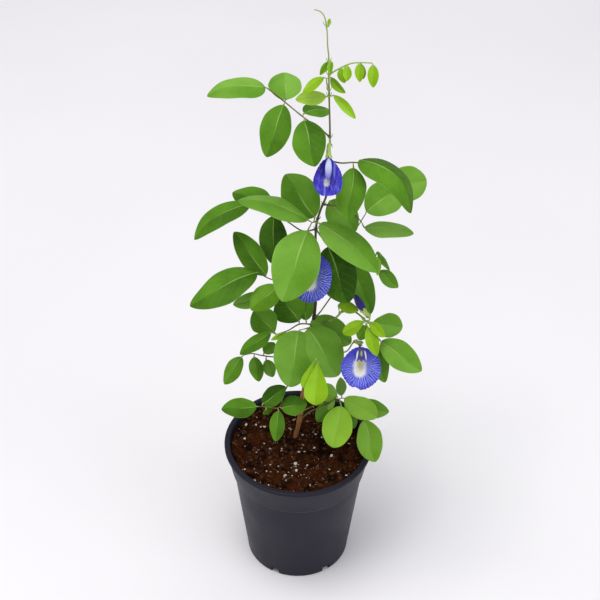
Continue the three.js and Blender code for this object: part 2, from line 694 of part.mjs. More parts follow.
/** One flower as two bodies, calyx and petals, with the claw free in the calyx's mouth. */
function flower(root, { stalk, calyx, banner, wingSpread }) {
  const place = (reading) => seenNear(root, reading);
  const cup = calyx.map(place);
  const foot = place(banner.foot);
  const tip = place(banner.tip);
  const mouth = cup[cup.length - 1].clone().lerp(cup[cup.length - 2], CLAW_INTO_CALYX_SHARE);
  const petals = corolla(mouth, foot, tip, banner, wingSpread);
  const inward = mouth.clone().sub(foot).normalize().multiplyScalar(SEAT_GAP);
  const room = [mouth.clone().add(inward), foot.clone().lerp(tip, BORE_PAST_FOOT_SHARE)];
  const bore = solid(rod(room, () => CLAW_RADIUS + SEAT_GAP, CLAW_SIDES, 1));
  const body = calyxBody(root, stalk.map(place), cup, CALYX_MOUTH_RADIUS);
  return { calyx: clearOfStems(body.subtract(bore)), petals: clearOfStems(petals) };
}

/** The closed bud as two bodies, calyx and petals. */
function bud(root, { stalk, calyx, petals }) {
  const place = (reading) => seenNear(root, reading);
  const cup = calyx.map(place);
  const route = [cup[cup.length - 1], ...petals.map(place)];
  const swell = (t) => {
    const share = THREE.MathUtils.lerp(BUD_FIRST_SHARE, BUD_LAST_SHARE, t);
    return BUD_RADIUS * Math.max(BUD_SMALLEST_SHARE, Math.sin(Math.PI * share) ** BUD_BLUNTNESS);
  };
  const inCup = cup[cup.length - 1].clone().lerp(cup[cup.length - 2], BUD_INTO_CALYX_SHARE);
  const room = [inCup, ...route.slice(1)];
  const bore = solid(rod(room, (t) => swell(t) + SEAT_GAP, CALYX_SIDES, BUD_STEPS));
  const body = calyxBody(root, stalk.map(place), cup, BUD_CALYX_RADIUS);
  return {
    calyx: clearOfStems(body.subtract(bore)),
    petals: clearOfStems(solid(rod(route, swell, CALYX_SIDES, BUD_STEPS))),
  };
}

/** The pot's outline, from the middle of its underside, round the lip and back to the axis. */
function potOutline() {
  const bandFoot = POT_HEIGHT - BAND_HEIGHT;
  const underLip = POT_HEIGHT - LIP_HEIGHT;
  const innerTop = RIM_RADIUS - LIP_WIDTH;
  return [
    [0, 0],
    [BASE_RADIUS - BASE_ROUNDING, 0],
    [BASE_RADIUS, BASE_ROUNDING],
    [BAND_FOOT_RADIUS - BAND_STEP, bandFoot],
    [BAND_FOOT_RADIUS, bandFoot + BAND_STEP],
    [RIM_RADIUS - LIP_OVERHANG, underLip],
    [RIM_RADIUS, underLip + LIP_ROUNDING],
    [RIM_RADIUS, POT_HEIGHT - LIP_ROUNDING],
    [RIM_RADIUS - LIP_ROUNDING, POT_HEIGHT],
    [innerTop + LIP_ROUNDING, POT_HEIGHT],
    [innerTop, POT_HEIGHT - LIP_ROUNDING],
    [potInnerRadius(bandFoot), bandFoot],
    [BASE_RADIUS - POT_WALL, POT_FLOOR],
    [0, POT_FLOOR],
  ].map(([radius, height]) => new THREE.Vector2(radius, height));
}

/** Inner radius of the pot at a height above the ground; the wall leans out more above the band's foot. */
function potInnerRadius(height) {
  const bandFoot = POT_HEIGHT - BAND_HEIGHT;
  const waist = BAND_FOOT_RADIUS - BAND_STEP - POT_WALL;
  if (height < bandFoot) {
    return THREE.MathUtils.mapLinear(height, POT_FLOOR, bandFoot, BASE_RADIUS - POT_WALL, waist);
  }
  const top = POT_HEIGHT - LIP_ROUNDING;
  return THREE.MathUtils.mapLinear(height, bandFoot, top, waist, RIM_RADIUS - LIP_WIDTH);
}

/** The pot with its drain notches cut through the foot of the wall. */
function pot() {
  const walls = new THREE.LatheGeometry(potOutline(), POT_SECTORS);
  walls.rotateX(Math.PI / 2);
  let body = solid(walls);
  for (let i = 0; i < DRAIN_COUNT; i += 1) {
    const notch = new THREE.BoxGeometry(DRAIN_DEPTH * 2, DRAIN_WIDTH, DRAIN_HEIGHT * 2);
    notch.translate(BASE_RADIUS, 0, 0);
    notch.rotateZ(DRAIN_FIRST_ANGLE + (i * 2 * Math.PI) / DRAIN_COUNT);
    body = body.subtract(solid(notch));
  }
  return body;
}

/** Height of the soil's lumps at a place on its surface: broad waves with smaller ones on them. */
function soilLump(x, y) {
  const turn = 2 * Math.PI;
  const broad = Math.sin((turn * x) / SOIL_BROAD_WAVE) * Math.cos((turn * y) / SOIL_BROAD_WAVE);
  const fine = Math.sin((turn * (x + y)) / SOIL_FINE_WAVE) * Math.cos((turn * y) / SOIL_FINE_WAVE);
  return SOIL_LUMP * THREE.MathUtils.lerp(broad, fine, SOIL_FINE_SHARE);
}

/** The soil: a plug that fills the pot, with a lumpy top and a plain hole for the stem. */
function soil() {
  const bottom = POT_FLOOR + SEAT_GAP;
  const bandFoot = POT_HEIGHT - BAND_HEIGHT;
  const level = POT_HEIGHT - SOIL_BELOW_RIM;
  const topRadius = potInnerRadius(level) - SOIL_WALL_GAP;
  const outline = [[0, bottom]];
  [bottom, bandFoot].forEach((height) => {
    outline.push([potInnerRadius(height) - SOIL_WALL_GAP, height]);
  });
  for (let ring = SOIL_RINGS; ring >= 0; ring -= 1) {
    outline.push([(topRadius * ring) / SOIL_RINGS, level]);
  }
  const points = outline.map(([radius, height]) => new THREE.Vector2(radius, height));
  const plug = new THREE.LatheGeometry(points, SOIL_SECTORS);
  plug.rotateX(Math.PI / 2);
  const position = plug.attributes.position;
  for (let i = 0; i < position.count; i += 1) {
    const x = position.getX(i);
    const y = position.getY(i);
    const inward = 1 - Math.min(1, Math.hypot(x, y) / topRadius);
    const crown = SOIL_CROWN * Math.min(1, inward / SOIL_CROWN_EDGE_SHARE);
    const inTop = position.getZ(i) > level - SEAT_GAP && inward > SOIL_CROWN_EDGE_SHARE / SOIL_RINGS;
    if (inTop) position.setZ(i, level + soilLump(x, y) + crown);
  }
  return solid(plug).subtract(roomForMainStem);
}

const part = new THREE.Group();

/** Adds one named piece in one colour to the part. */
function addPiece(name, body, colour, roughness) {
  const material = new THREE.MeshStandardMaterial({ color: colour, roughness, metalness: 0 });
  const mesh = new THREE.Mesh(skin(body), material);
  mesh.name = name;
  part.add(mesh);
}

const POT_COLOUR = 0x2e2f36;
const SOIL_COLOUR = 0x2e1710;
const STEM_COLOUR = 0x6d5b34;
const LEAF_COLOUR = 0x4f9a2c;
const YOUNG_LEAF_COLOUR = 0x9cc42c;
const CALYX_COLOUR = 0x9dbb5c;
const PETAL_COLOUR = 0x4a3fd0;
const BUD_COLOUR = 0x2a2466;
const POT_ROUGHNESS = 0.55;
const SOIL_ROUGHNESS = 0.95;
const STEM_ROUGHNESS = 0.7;
const LEAF_ROUGHNESS = 0.5;
const PETAL_ROUGHNESS = 0.6;

/** Adds one compound leaf, in the colour of its age. */
function addLeaf(root, leaf) {
  const colour = leaf.name.includes("young") ? YOUNG_LEAF_COLOUR : LEAF_COLOUR;
  addPiece(leaf.name, compoundLeaf(root, leaf), colour, LEAF_ROUGHNESS);
}

addPiece("pot", pot(), POT_COLOUR, POT_ROUGHNESS);
addPiece("soil", soil(), SOIL_COLOUR, SOIL_ROUGHNESS);
addPiece("main_stem", solid(mainStem(0)), STEM_COLOUR, STEM_ROUGHNESS);
addPiece("side_shoot", solid(sideShoot(0)).subtract(roomForMainStem), STEM_COLOUR, STEM_ROUGHNESS);
for (const leaf of LEAVES) {
  addLeaf(stemAtHeight(leaf.rise), leaf);
}
for (const leaf of SHOOT_LEAVES) {
  addLeaf(shootCurve.getPointAt(leaf.way), leaf);
}
for (const bloom of FLOWERS) {
  const { calyx, petals } = flower(stemAtHeight(bloom.rise), bloom);
  addPiece(`${bloom.name}_calyx`, calyx, CALYX_COLOUR, PETAL_ROUGHNESS);
  addPiece(`${bloom.name}_petals`, petals, PETAL_COLOUR, PETAL_ROUGHNESS);
}
const closed = bud(shootCurve.getPointAt(BUD.way), BUD);
addPiece("bud_calyx", closed.calyx, CALYX_COLOUR, PETAL_ROUGHNESS);
addPiece("bud_petals", closed.petals, BUD_COLOUR, PETAL_ROUGHNESS);

export default part;
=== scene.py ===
"""A potted climbing butterfly pea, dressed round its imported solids.

Objects are in metres in the solids' own frame: +Z up, the origin at the centre of the pot's underside
and -Y towards the viewer. Sizes and places of the plant are written in millimetres.
"""
import json
import logging
import math
from dataclasses import dataclass, field
from enum import Enum
from functools import partialmethod
from typing import Sequence, Union

import bmesh
import bpy
import numpy as np
from mathutils import Matrix
from numpy.typing import NDArray

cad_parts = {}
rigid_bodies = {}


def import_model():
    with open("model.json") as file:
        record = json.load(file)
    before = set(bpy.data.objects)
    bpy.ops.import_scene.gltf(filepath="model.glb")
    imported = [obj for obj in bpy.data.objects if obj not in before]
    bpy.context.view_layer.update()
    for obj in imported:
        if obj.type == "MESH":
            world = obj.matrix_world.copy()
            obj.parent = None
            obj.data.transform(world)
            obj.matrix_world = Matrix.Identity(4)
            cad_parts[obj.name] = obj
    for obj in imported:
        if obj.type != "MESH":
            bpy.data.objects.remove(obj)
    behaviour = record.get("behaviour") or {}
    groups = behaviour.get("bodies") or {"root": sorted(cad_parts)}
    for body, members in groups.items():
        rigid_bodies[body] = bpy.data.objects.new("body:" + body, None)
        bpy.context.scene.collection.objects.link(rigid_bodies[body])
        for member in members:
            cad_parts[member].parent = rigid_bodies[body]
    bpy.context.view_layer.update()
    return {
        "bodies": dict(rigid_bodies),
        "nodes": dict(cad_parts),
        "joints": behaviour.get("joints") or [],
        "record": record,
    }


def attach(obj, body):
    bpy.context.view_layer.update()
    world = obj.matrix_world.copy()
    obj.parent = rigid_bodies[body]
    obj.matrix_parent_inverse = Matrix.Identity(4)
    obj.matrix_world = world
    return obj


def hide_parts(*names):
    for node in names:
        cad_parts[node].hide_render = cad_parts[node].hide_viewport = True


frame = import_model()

Array = NDArray[np.float64]
Faces = NDArray[np.int64]
Reading = tuple[float, float, float]
Triple = tuple[float, float, float]
Value = Union["Signal", float, tuple]

LOG = logging.getLogger("potted_butterfly_pea")
MM = 0.001
SURFACE_MAP = "surface"
TRAITS = "traits"
SAME_PLACE = 1e-6
TINY = 1e-12
MAP_SPAN = 100.0
FEWEST_RINGS = 8
CREASE = math.radians(50.0)
FULL_TURN = 2 * math.pi


class Slot(Enum):
    """Material slots of the record."""

    POT = "pot"
    SOIL = "soil"
    STEM = "stem"
    SHOOT = "shoot"
    LEAF = "leaf"
    YOUNG_LEAF = "young_leaf"
    CALYX = "calyx"
    PETAL = "petal"
    BUD = "bud"


# The view that the plant's places were read from


@dataclass(frozen=True)
class Viewpoint:
    """An eye that looks down on the plant; a reading is a place in its view with a depth."""

    eye: Triple = (0.4, -787.0, 897.0)
    pitch: float = math.radians(40.1)
    roll: float = math.radians(0.45)
    scale: float = 1567.0
    centre: float = 300.0
    sensor: float = 36.0
    far: float = 20.0

    def axes(self) -> tuple[Array, Array, Array]:
        """Directions of the view.

        Returns:
            Forward, right and up, as unit vectors.
        """
        forward = np.array([0.0, math.cos(self.pitch), -math.sin(self.pitch)])
        level_right = np.array([1.0, 0.0, 0.0])
        level_up = np.cross(level_right, forward)
        right = level_right * math.cos(self.roll) + level_up * math.sin(self.roll)
        up = level_up * math.cos(self.roll) - level_right * math.sin(self.roll)
        return forward, right, up

    def sight(self, readings: Sequence[Reading]) -> tuple[Array, Array]:
        """Lines of sight of readings, which go one millimetre forward, and the readings' depths.

        Args:
            readings: Places across and down in the view, with a depth in millimetres.

        Returns:
            One direction and one depth per reading.
        """
        forward, right, up = self.axes()
        across, down, depth = np.asarray(readings, float).T[:, :, None]
        side, drop = (across - self.centre) / self.scale, (down - self.centre) / self.scale
        return forward + side * right - drop * up, depth

    def behind_axis(self, readings: Sequence[Reading]) -> Array:
        """Points seen at readings whose depth is how far they are behind the pot's axis."""
        rays, depth = self.sight(readings)
        return np.asarray(self.eye) + rays * (depth - self.eye[1]) / rays[:, 1:2]

    def nearer(self, root: Array, readings: Sequence[Reading]) -> Array:
        """Points seen at readings whose depth is how much nearer than a root they are."""
        rays, depth = self.sight(readings)
        return np.asarray(self.eye) + rays * ((root - np.asarray(self.eye)) @ self.axes()[0] - depth)

    def camera(self) -> None:
        """Makes the camera and looks through it."""
        lens = bpy.data.cameras.new("camera")
        lens.sensor_width = self.sensor
        lens.lens = self.scale / (2 * self.centre) * self.sensor
        lens.clip_end = self.far
        camera = bpy.data.objects.new("camera", lens)
        forward, right, up = self.axes()
        turn = Matrix(np.column_stack([right, up, -forward]).tolist()).to_4x4()
        turn.translation = np.asarray(self.eye) * MM
        camera.matrix_world = turn
        bpy.context.scene.collection.objects.link(camera)
        bpy.context.scene.camera = camera


VIEW = Viewpoint()


# Curves, surfaces and pieces


class Route:
    """A smooth curve through points, walked at an even pace.

    Each span is a cubic through its two ends, with slopes from the neighbouring points weighted by the
    square root of their distances.
    """

    SPAN_SAMPLES = 60
    TANGENT_STEP = 0.01

    def __init__(self, points: Array) -> None:
        """Works out the curve.

        Args:
            points: Two or more points, in millimetres.
        """
        points = np.asarray(points, float)
        ends = np.vstack([2 * points[0] - points[1], points, 2 * points[-1] - points[-2]])
        p0, p1, p2, p3 = ends[:-3], ends[1:-2], ends[2:-1], ends[3:]
        pace = np.sqrt(np.linalg.norm(np.diff(ends, axis=0), axis=1))[:, None]
        d0, d1, d2 = pace[:-2], pace[1:-1], pace[2:]
        leave = ((p1 - p0) / d0 - (p2 - p0) / (d0 + d1) + (p2 - p1) / d1) * d1
        arrive = ((p2 - p1) / d1 - (p3 - p1) / (d1 + d2) + (p3 - p2) / d2) * d1
        t = np.linspace(0, 1, self.SPAN_SAMPLES, endpoint=False)[None, :, None]
        spans = p1[:, None] + leave[:, None] * t
        spans = spans + (-3 * p1 + 3 * p2 - 2 * leave - arrive)[:, None] * t**2
        spans = spans + (2 * p1 - 2 * p2 + leave + arrive)[:, None] * t**3
        self.points = np.vstack([spans.reshape(-1, 3), points[-1:]])
        steps = np.linalg.norm(np.diff(self.points, axis=0), axis=1)
        self.walked = np.concatenate([[0.0], np.cumsum(steps)])
        self.length = float(self.walked[-1])

    def at(self, shares: Array | float) -> Array:
        """Points at shares of the way, from 0 to 1."""
        walked = np.atleast_1d(shares) * self.length
        return np.column_stack([np.interp(walked, self.walked, self.points[:, k]) for k in range(3)])

    def tangents(self, shares: Array) -> Array:
        """Unit directions of travel at shares of the way."""
        step = self.TANGENT_STEP
        return unit(self.at(np.clip(shares + step, 0, 1)) - self.at(np.clip(shares - step, 0, 1)))

    def nearest(self, point: Array) -> int:
        """Number of the curve's own point that is nearest to a given point."""
        return int(np.argmin(np.linalg.norm(self.points - point, axis=1)))


def unit(vectors: Array) -> Array:
    """Vectors scaled to a length of one along their last axis."""
    return vectors / np.maximum(np.linalg.norm(vectors, axis=-1, keepdims=True), TINY)


def grid_faces(rows: int, columns: int) -> Faces:
    """Four-sided faces of a grid of corners stored row by row."""
    corner = np.arange(rows * columns).reshape(rows, columns)
    return np.stack([corner[:-1, :-1], corner[:-1, 1:], corner[1:, 1:], corner[1:, :-1]], -1).reshape(-1, 4)


@dataclass(frozen=True)
class Traits:
    """What a finish reads from a surface besides which side it is: its tone and its youth. On leaflets and
    the folded banner the tone sets painted shade and light.
    """

    tone: float = 0.0
    youth: float = 0.0

    def spread(self, count: int) -> Array:
        """Tone, underside and youth of an upper side, for each of a number of corners."""
        return np.tile([self.tone, 0.0, self.youth], (count, 1))


@dataclass
class Patch:
    """A stretch of surface: corners in millimetres, faces, places on its map and traits."""

    corners: Array
    faces: Faces
    places: Array
    traits: Array

    @classmethod
    def grid(cls, points: Array, places: Array, traits: Traits = Traits()) -> "Patch":
        """A sheet over a grid of points.

        Args:
            points: Rows by columns of points.
            places: Places on the surface's map, for the same grid.
            traits: Traits of the whole sheet.

        Returns:
            The sheet as a patch.
        """
        rows, columns = points.shape[:2]
        flat, spread = points.reshape(-1, 3), traits.spread(rows * columns)
        return cls(flat, grid_faces(rows, columns), places.reshape(-1, 2), spread)

    @classmethod
    def sheet(cls, points: Array, thickness: Array, places: Array, traits: Traits, ring: bool) -> "Patch":
        """A closed thin body: the grid moved out by half its thickness both ways, joined at its border.

        Args:
            points: Rows by columns of points of the middle surface.
            thickness: Thickness at each of them.
            places: Places on the surface's map, for the same grid.
            traits: Traits of the whole body; the back gets its underside by itself.
            ring: Whether the columns close into a ring round a pole at the first row.

        Returns:
            The body as a patch.
        """
        wrapped = np.concatenate([points[:, -2:-1], points, points[:, 1:2]], 1) if ring else points
        across = np.gradient(wrapped, axis=1)
        across = across[:, 1:-1] if ring else across
        out = unit(np.cross(across, np.gradient(points, axis=0)))
        if ring:
            out[0] = unit(out[1].mean(0))
        half = out * thickness[..., None] / 2
        rows, columns = points.shape[:2]
        count = rows * columns
        corner = np.arange(count).reshape(rows, columns)
        sides = [corner[0, :-1], corner[:-1, -1], corner[-1, :0:-1], corner[:0:-1, 0], corner[0, :1]]
        border = corner[-1, ::-1] if ring else np.concatenate(sides)
        front = grid_faces(rows, columns)
        here, there = border[:-1], border[1:]
        rim = np.stack([there, here, here + count, there + count], -1)
        spread = traits.spread(2 * count)
        spread[count:, 1] = 1.0
        return cls(
            np.vstack([(points + half).reshape(-1, 3), (points - half).reshape(-1, 3)]),
            np.vstack([front, front[:, ::-1] + count, rim]),
            np.tile(places.reshape(-1, 2), (2, 1)),
            spread,
        )

    @classmethod
    def tube(
        cls, route: Route, radius: Array, sides: int, traits: Traits = Traits(), ripple: Array | float = 0.0
    ) -> "Patch":
        """A closed round profile carried along a route.

        Args:
            route: The middle line.
            radius: Radius at each ring, at even steps of the way.
            sides: Number of sides round it.
            traits: Traits of the whole tube.
            ripple: Change of the radius as a share, for each ring and corner.

        Returns:
            The tube as a patch, closed at both ends.
        """
        share = np.linspace(0, 1, len(radius))
        tangent = route.tangents(share)
        reference = np.linalg.svd(tangent)[2][-1]
        normal = unit(reference - tangent * (tangent @ reference)[:, None])
        binormal = np.cross(tangent, normal)
        angle = np.linspace(0, FULL_TURN, sides + 1)
        reach = radius[:, None] * (1 + ripple + 0 * angle)
        spoke = np.cos(angle)[:, None] * normal[:, None] + np.sin(angle)[:, None] * binormal[:, None]
        middle = route.at(share)[:, None]
        wall = middle + reach[..., None] * spoke
        points = np.concatenate([middle[:1] + 0 * wall[:1], wall, middle[-1:] + 0 * wall[:1]])
        along = np.concatenate([[0.0], share, [1.0]])
        return cls.grid(points, np.stack(np.meshgrid(angle / FULL_TURN, along), -1), traits)


@dataclass
class Piece:
    """A named Blender object gathered from patches, each with the number of its finish."""

    name: str
    finishes: Sequence[bpy.types.Material]
    patches: list[tuple[Patch, int]] = field(default_factory=list)

    def add(self, patch: Patch, finish: int = 0) -> None:
        """Adds a patch in the finish of that number."""
        self.patches.append((patch, finish))

    def make(self, slot: Slot, replaces: Sequence[str] = ()) -> None:
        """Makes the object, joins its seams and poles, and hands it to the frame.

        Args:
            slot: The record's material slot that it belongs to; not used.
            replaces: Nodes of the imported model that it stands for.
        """
        patches = [patch for patch, _ in self.patches]
        counts = np.cumsum([0] + [len(patch.corners) for patch in patches])
        corners = np.vstack([patch.corners for patch in patches]) * MM
        faces = np.vstack([patch.faces + start for patch, start in zip(patches, counts)])
        places = np.vstack([patch.places for patch in patches])
        traits = np.vstack([patch.traits for patch in patches])
        finish = np.concatenate([np.full(len(patch.faces), number) for patch, number in self.patches])
        mesh = bpy.data.meshes.new(self.name)
        mesh.from_pydata(corners, [], faces.tolist())
        mesh.uv_layers.new(name=SURFACE_MAP).data.foreach_set("uv", places[faces.ravel()].ravel())
        mesh.attributes.new(TRAITS, "FLOAT_VECTOR", "POINT").data.foreach_set("vector", traits.ravel())
        for material in self.finishes:
            mesh.materials.append(material)
        mesh.polygons.foreach_set("material_index", finish.astype(np.int32))
        shape = bmesh.new()
        shape.from_mesh(mesh)
        bmesh.ops.remove_doubles(shape, verts=shape.verts, dist=SAME_PLACE)
        shape.to_mesh(mesh)
        shape.free()
        mesh.validate()
        mesh.polygons.foreach_set("use_smooth", np.ones(len(mesh.polygons), bool))
        mesh.set_sharp_from_angle(angle=CREASE)
        piece = bpy.data.objects.new(self.name, mesh)
        bpy.context.scene.collection.objects.link(piece)
        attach(piece, "root")
        if replaces:
            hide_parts(*replaces)
        LOG.info("%s: %d faces", self.name, len(mesh.polygons))


def even_waves(x: Array, y: Array, cell: float, seed: int) -> Array:
    """Smooth chance heights from -1 to 1: values on a square lattice, eased between its corners.

    Args:
        x: Places along the lattice.
        y: Places across it.
        cell: Size of the lattice's cells.
        seed: Seed of the chance values.

    Returns:
        One height per place.
    """
    size = 64
    lattice = np.random.default_rng(seed).uniform(-1, 1, (size, size))
    column, row = np.floor(x / cell).astype(int), np.floor(y / cell).astype(int)
    ease_x, ease_y = (part * part * (3 - 2 * part) for part in (x / cell - column, y / cell - row))
    a, b = lattice[row % size, column % size], lattice[row % size, (column + 1) % size]
    c, d = lattice[(row + 1) % size, column % size], lattice[(row + 1) % size, (column + 1) % size]
    return (a * (1 - ease_x) + b * ease_x) * (1 - ease_y) + (c * (1 - ease_x) + d * ease_x) * ease_y


def ripples(angle: Array, along: Array, waves: Sequence[Triple]) -> Array:
    """Waves round a rod, each with its height, how many go round and how fast they turn along it."""
    return sum(height * np.sin(count * angle + twist * along) for height, count, twist in waves)


# Finishes


class Signal:
    """A value in a node tree; sums on it add nodes."""

    def __init__(self, graph: "Graph", socket: bpy.types.NodeSocket) -> None:
        """Takes an output in a graph's tree."""
        self.graph = graph
        self.socket = socket

    def worked(self, operation: str, *others: Value) -> "Signal":
        """The result of a named sum on this and other values."""
        return self.graph.math(operation, self, *others)

    __add__ = partialmethod(worked, "ADD")
    __sub__ = partialmethod(worked, "SUBTRACT")
    __mul__ = partialmethod(worked, "MULTIPLY")
    __truediv__ = partialmethod(worked, "DIVIDE")
    __pow__ = partialmethod(worked, "POWER")
    __abs__ = partialmethod(worked, "ABSOLUTE")
    root = partialmethod(worked, "SQRT")
    most = partialmethod(worked, "MAXIMUM")
    least = partialmethod(worked, "MINIMUM")

    def __rsub__(self, other: Value) -> "Signal":
        """What this leaves of a number."""
        return self.graph.math("SUBTRACT", other, self)

    def ramp(self, low: float, high: float) -> "Signal":
        """The value brought smoothly from a range to 0 to 1; the range may run downwards."""
        values = {"Value": self, "From Min": low, "From Max": high}
        return self.graph.node("ShaderNodeMapRange", values, interpolation_type="SMOOTHSTEP")


class Graph:
    """A node tree while it is being wired."""

    def __init__(self, tree: bpy.types.NodeTree) -> None:
        """Takes a node tree."""
        self.tree = tree

    def add(self, kind: str, **settings: object) -> bpy.types.Node:
        """Adds a node.

        Args:
            kind: Type of the node.
            **settings: Its properties by name.

        Returns:
            The node.
        """
        node = self.tree.nodes.new(kind)
        for name, value in settings.items():
            setattr(node, name, value)
        return node

    def feed(self, socket: bpy.types.NodeSocket, value: Value) -> None:
        """Feeds an input.

        Args:
            socket: The input.
            value: A signal or a plain value.
        """
        if isinstance(value, Signal):
            self.tree.links.new(value.socket, socket)
        elif isinstance(value, tuple) and socket.type == "RGBA":
            socket.default_value = (*value[:3], 1.0)
        else:
            socket.default_value = value

    def outputs(self, node: bpy.types.Node) -> dict[str, Signal]:
        """The outputs of a node by name."""
        return {output.name: Signal(self, output) for output in node.outputs}

    def node(self, kind: str, values: dict, output: int | str = 0, **settings: object) -> Signal:
        """Adds a node, feeds it and gives one of its outputs.

        Args:
            kind: Type of the node.
            values: Values by the name or number of the input.
            output: Name or number of the output that is wanted.
            **settings: Its properties by name.

        Returns:
            That output.
        """
        node = self.add(kind, **settings)
        for key, value in values.items():
            self.feed(node.inputs[key], value)
        return Signal(self, node.outputs[output])

    def math(self, operation: str, *values: Value) -> Signal:
        """The result of a named sum on numbers."""
        return self.node("ShaderNodeMath", dict(enumerate(values)), operation=operation)

    def blend(self, share: Value, start: Value, end: Value) -> Signal:
        """A number between two, by a share."""
        return self.node("ShaderNodeMix", {0: share, 2: start, 3: end}, data_type="FLOAT")

    def layers(self, colour: Value, *layers: tuple[Value, Value]) -> Signal:
        """Lays colours over a colour in turn.

        Args:
            colour: The lowest colour.
            *layers: Mask and colour of each layer.

        Returns:
            What is seen.
        """
        for mask, over in layers:
            colour = self.node("ShaderNodeMix", {0: mask, 6: colour, 7: over}, 2, data_type="RGBA")
        return colour

    def noise(self, place: Value, scale: Value, detail: float = 3.0) -> Signal:
        """Cloudy chance values from about 0 to 1 at a place."""
        return self.node("ShaderNodeTexNoise", {"Vector": place, "Scale": scale, "Detail": detail})

    def squeezed(self, place: Value, shares: Triple) -> Signal:
        """A place with each of its numbers cut to a share, which draws a pattern on it out."""
        return self.node("ShaderNodeMapping", {"Vector": place, "Scale": shares})

    def split(self, place: Value) -> list[Signal]:
        """The three numbers of a place."""
        node = self.node("ShaderNodeSeparateXYZ", {0: place}).socket.node
        return list(self.outputs(node).values())

    def group(self, tree: bpy.types.NodeTree, **values: Value) -> dict[str, Signal]:
        """Places a node group, feeds its named inputs and gives its outputs by name."""
        node = self.node("ShaderNodeGroup", values, node_tree=tree).socket.node
        return self.outputs(node)


class Effect(Graph):
    """A shader node group with named inputs and outputs while it is being wired."""

    def __init__(self, name: str, **inputs: float) -> None:
        """Starts the group, which takes a place and some numbers.

        Args:
            name: Name of the group.
            **inputs: Starting value of each number.
        """
        super().__init__(bpy.data.node_groups.new(name, "ShaderNodeTree"))
        self.tree.interface.new_socket("Place", in_out="INPUT", socket_type="NodeSocketVector")
        for label, start in inputs.items():
            socket = self.tree.interface.new_socket(label, in_out="INPUT", socket_type="NodeSocketFloat")
            socket.default_value = start
        self.given = self.outputs(self.add("NodeGroupInput"))

    def finished(self, **results: Signal) -> bpy.types.NodeTree:
        """Gives the group its outputs.

        Args:
            **results: What it puts out by name.

        Returns:
            The group.
        """
        for label in results:
            self.tree.interface.new_socket(label, in_out="OUTPUT", socket_type="NodeSocketFloat")
        node = self.add("NodeGroupOutput")
        for label, result in results.items():
            self.feed(node.inputs[label], result)
        return self.tree


class Effects:
    """Shader effects that several finishes share, each a node group built once."""

    def __init__(self) -> None:
        """Builds the groups."""
        self.mottle = self._mottle()
        self.veins = self._veins()
        self.rays = self._rays()

    @staticmethod
    def _mottle() -> bpy.types.NodeTree:
        """Builds blotches with fine grain in them: two cloudy patterns, one eight times finer.

        Returns:
            The group.
        """
        group = Effect("mottle", Scale=100.0)
        place, scale = group.given["Place"], group.given["Scale"]
        broad, fine = group.noise(place, scale, 4.0), group.noise(place, scale * 8.0, 4.0)
        return group.finished(Blotches=broad.ramp(0.3, 0.7), Grain=fine.ramp(0.25, 0.75))

    @staticmethod
    def _veins() -> bpy.types.NodeTree:
        """Builds the veins of a leaflet on its own map.

        The midrib is a band that narrows to nothing near the tip. The side veins are crests of a saw
        of the way along, swept forward away from the midrib. A net of cells lies between them, and
        the edge is a band at the border.

        Returns:
            The group.
        """
        group = Effect("veins", Pairs=7.0, Sweep=0.3)
        given = group.given
        place = group.split(given["Place"])
        across, way = place[0] * 2.0 - 1.0, place[1]
        away = abs(across)
        midrib = (away / (way * -0.062 + 0.072)).ramp(1.0, 0.35)
        stagger = group.math("GREATER_THAN", across, 0.0) * 0.45
        phase = (way - away**1.25 * given["Sweep"]) * given["Pairs"] + stagger
        side = abs(group.math("FRACT", phase) - 0.5).ramp(0.42, 0.5) * away.ramp(1.0, 0.7)
        net = {"Vector": given["Place"], "Scale": 24.0}
        cells = group.node("ShaderNodeTexVoronoi", net, feature="DISTANCE_TO_EDGE")
        return group.finished(
            # one output marks the half of a leaflet that is painted lighter, as painted light
            Midrib=midrib, Side=side, Net=cells.ramp(0.12, 0.0), Edge=away.ramp(0.93, 1.0),
            Half=across.ramp(-0.12, 0.12), Way=way,
        )

    @staticmethod
    def _rays() -> bpy.types.NodeTree:
        """Builds rays of a petal round the middle of its map, with the way across and down from it.

        Ray is a wave of the angle, drawn aside by chance. Lengths are shares of the petal's length.

        Returns:
            The group.
        """
        group = Effect("rays", Count=44.0, Span=1.5)
        given = group.given
        middle = {0: given["Place"], 1: (0.5, 0.5, 0.0)}
        centred = group.node("ShaderNodeVectorMath", middle, operation="SUBTRACT")
        scaled = group.node("ShaderNodeVectorMath", {0: centred, "Scale": given["Span"]}, operation="SCALE")
        across, down, _ = group.split(scaled)
        angle = group.math("ARCTAN2", across, down) + (group.noise(scaled, 10.0, 2.0) * 0.3 - 0.15)
        ray = group.math("COSINE", angle * given["Count"]) * 0.5 + 0.5
        reach = (across * across + down * down).root()
        return group.finished(Ray=ray, Reach=reach, Across=across, Down=down)


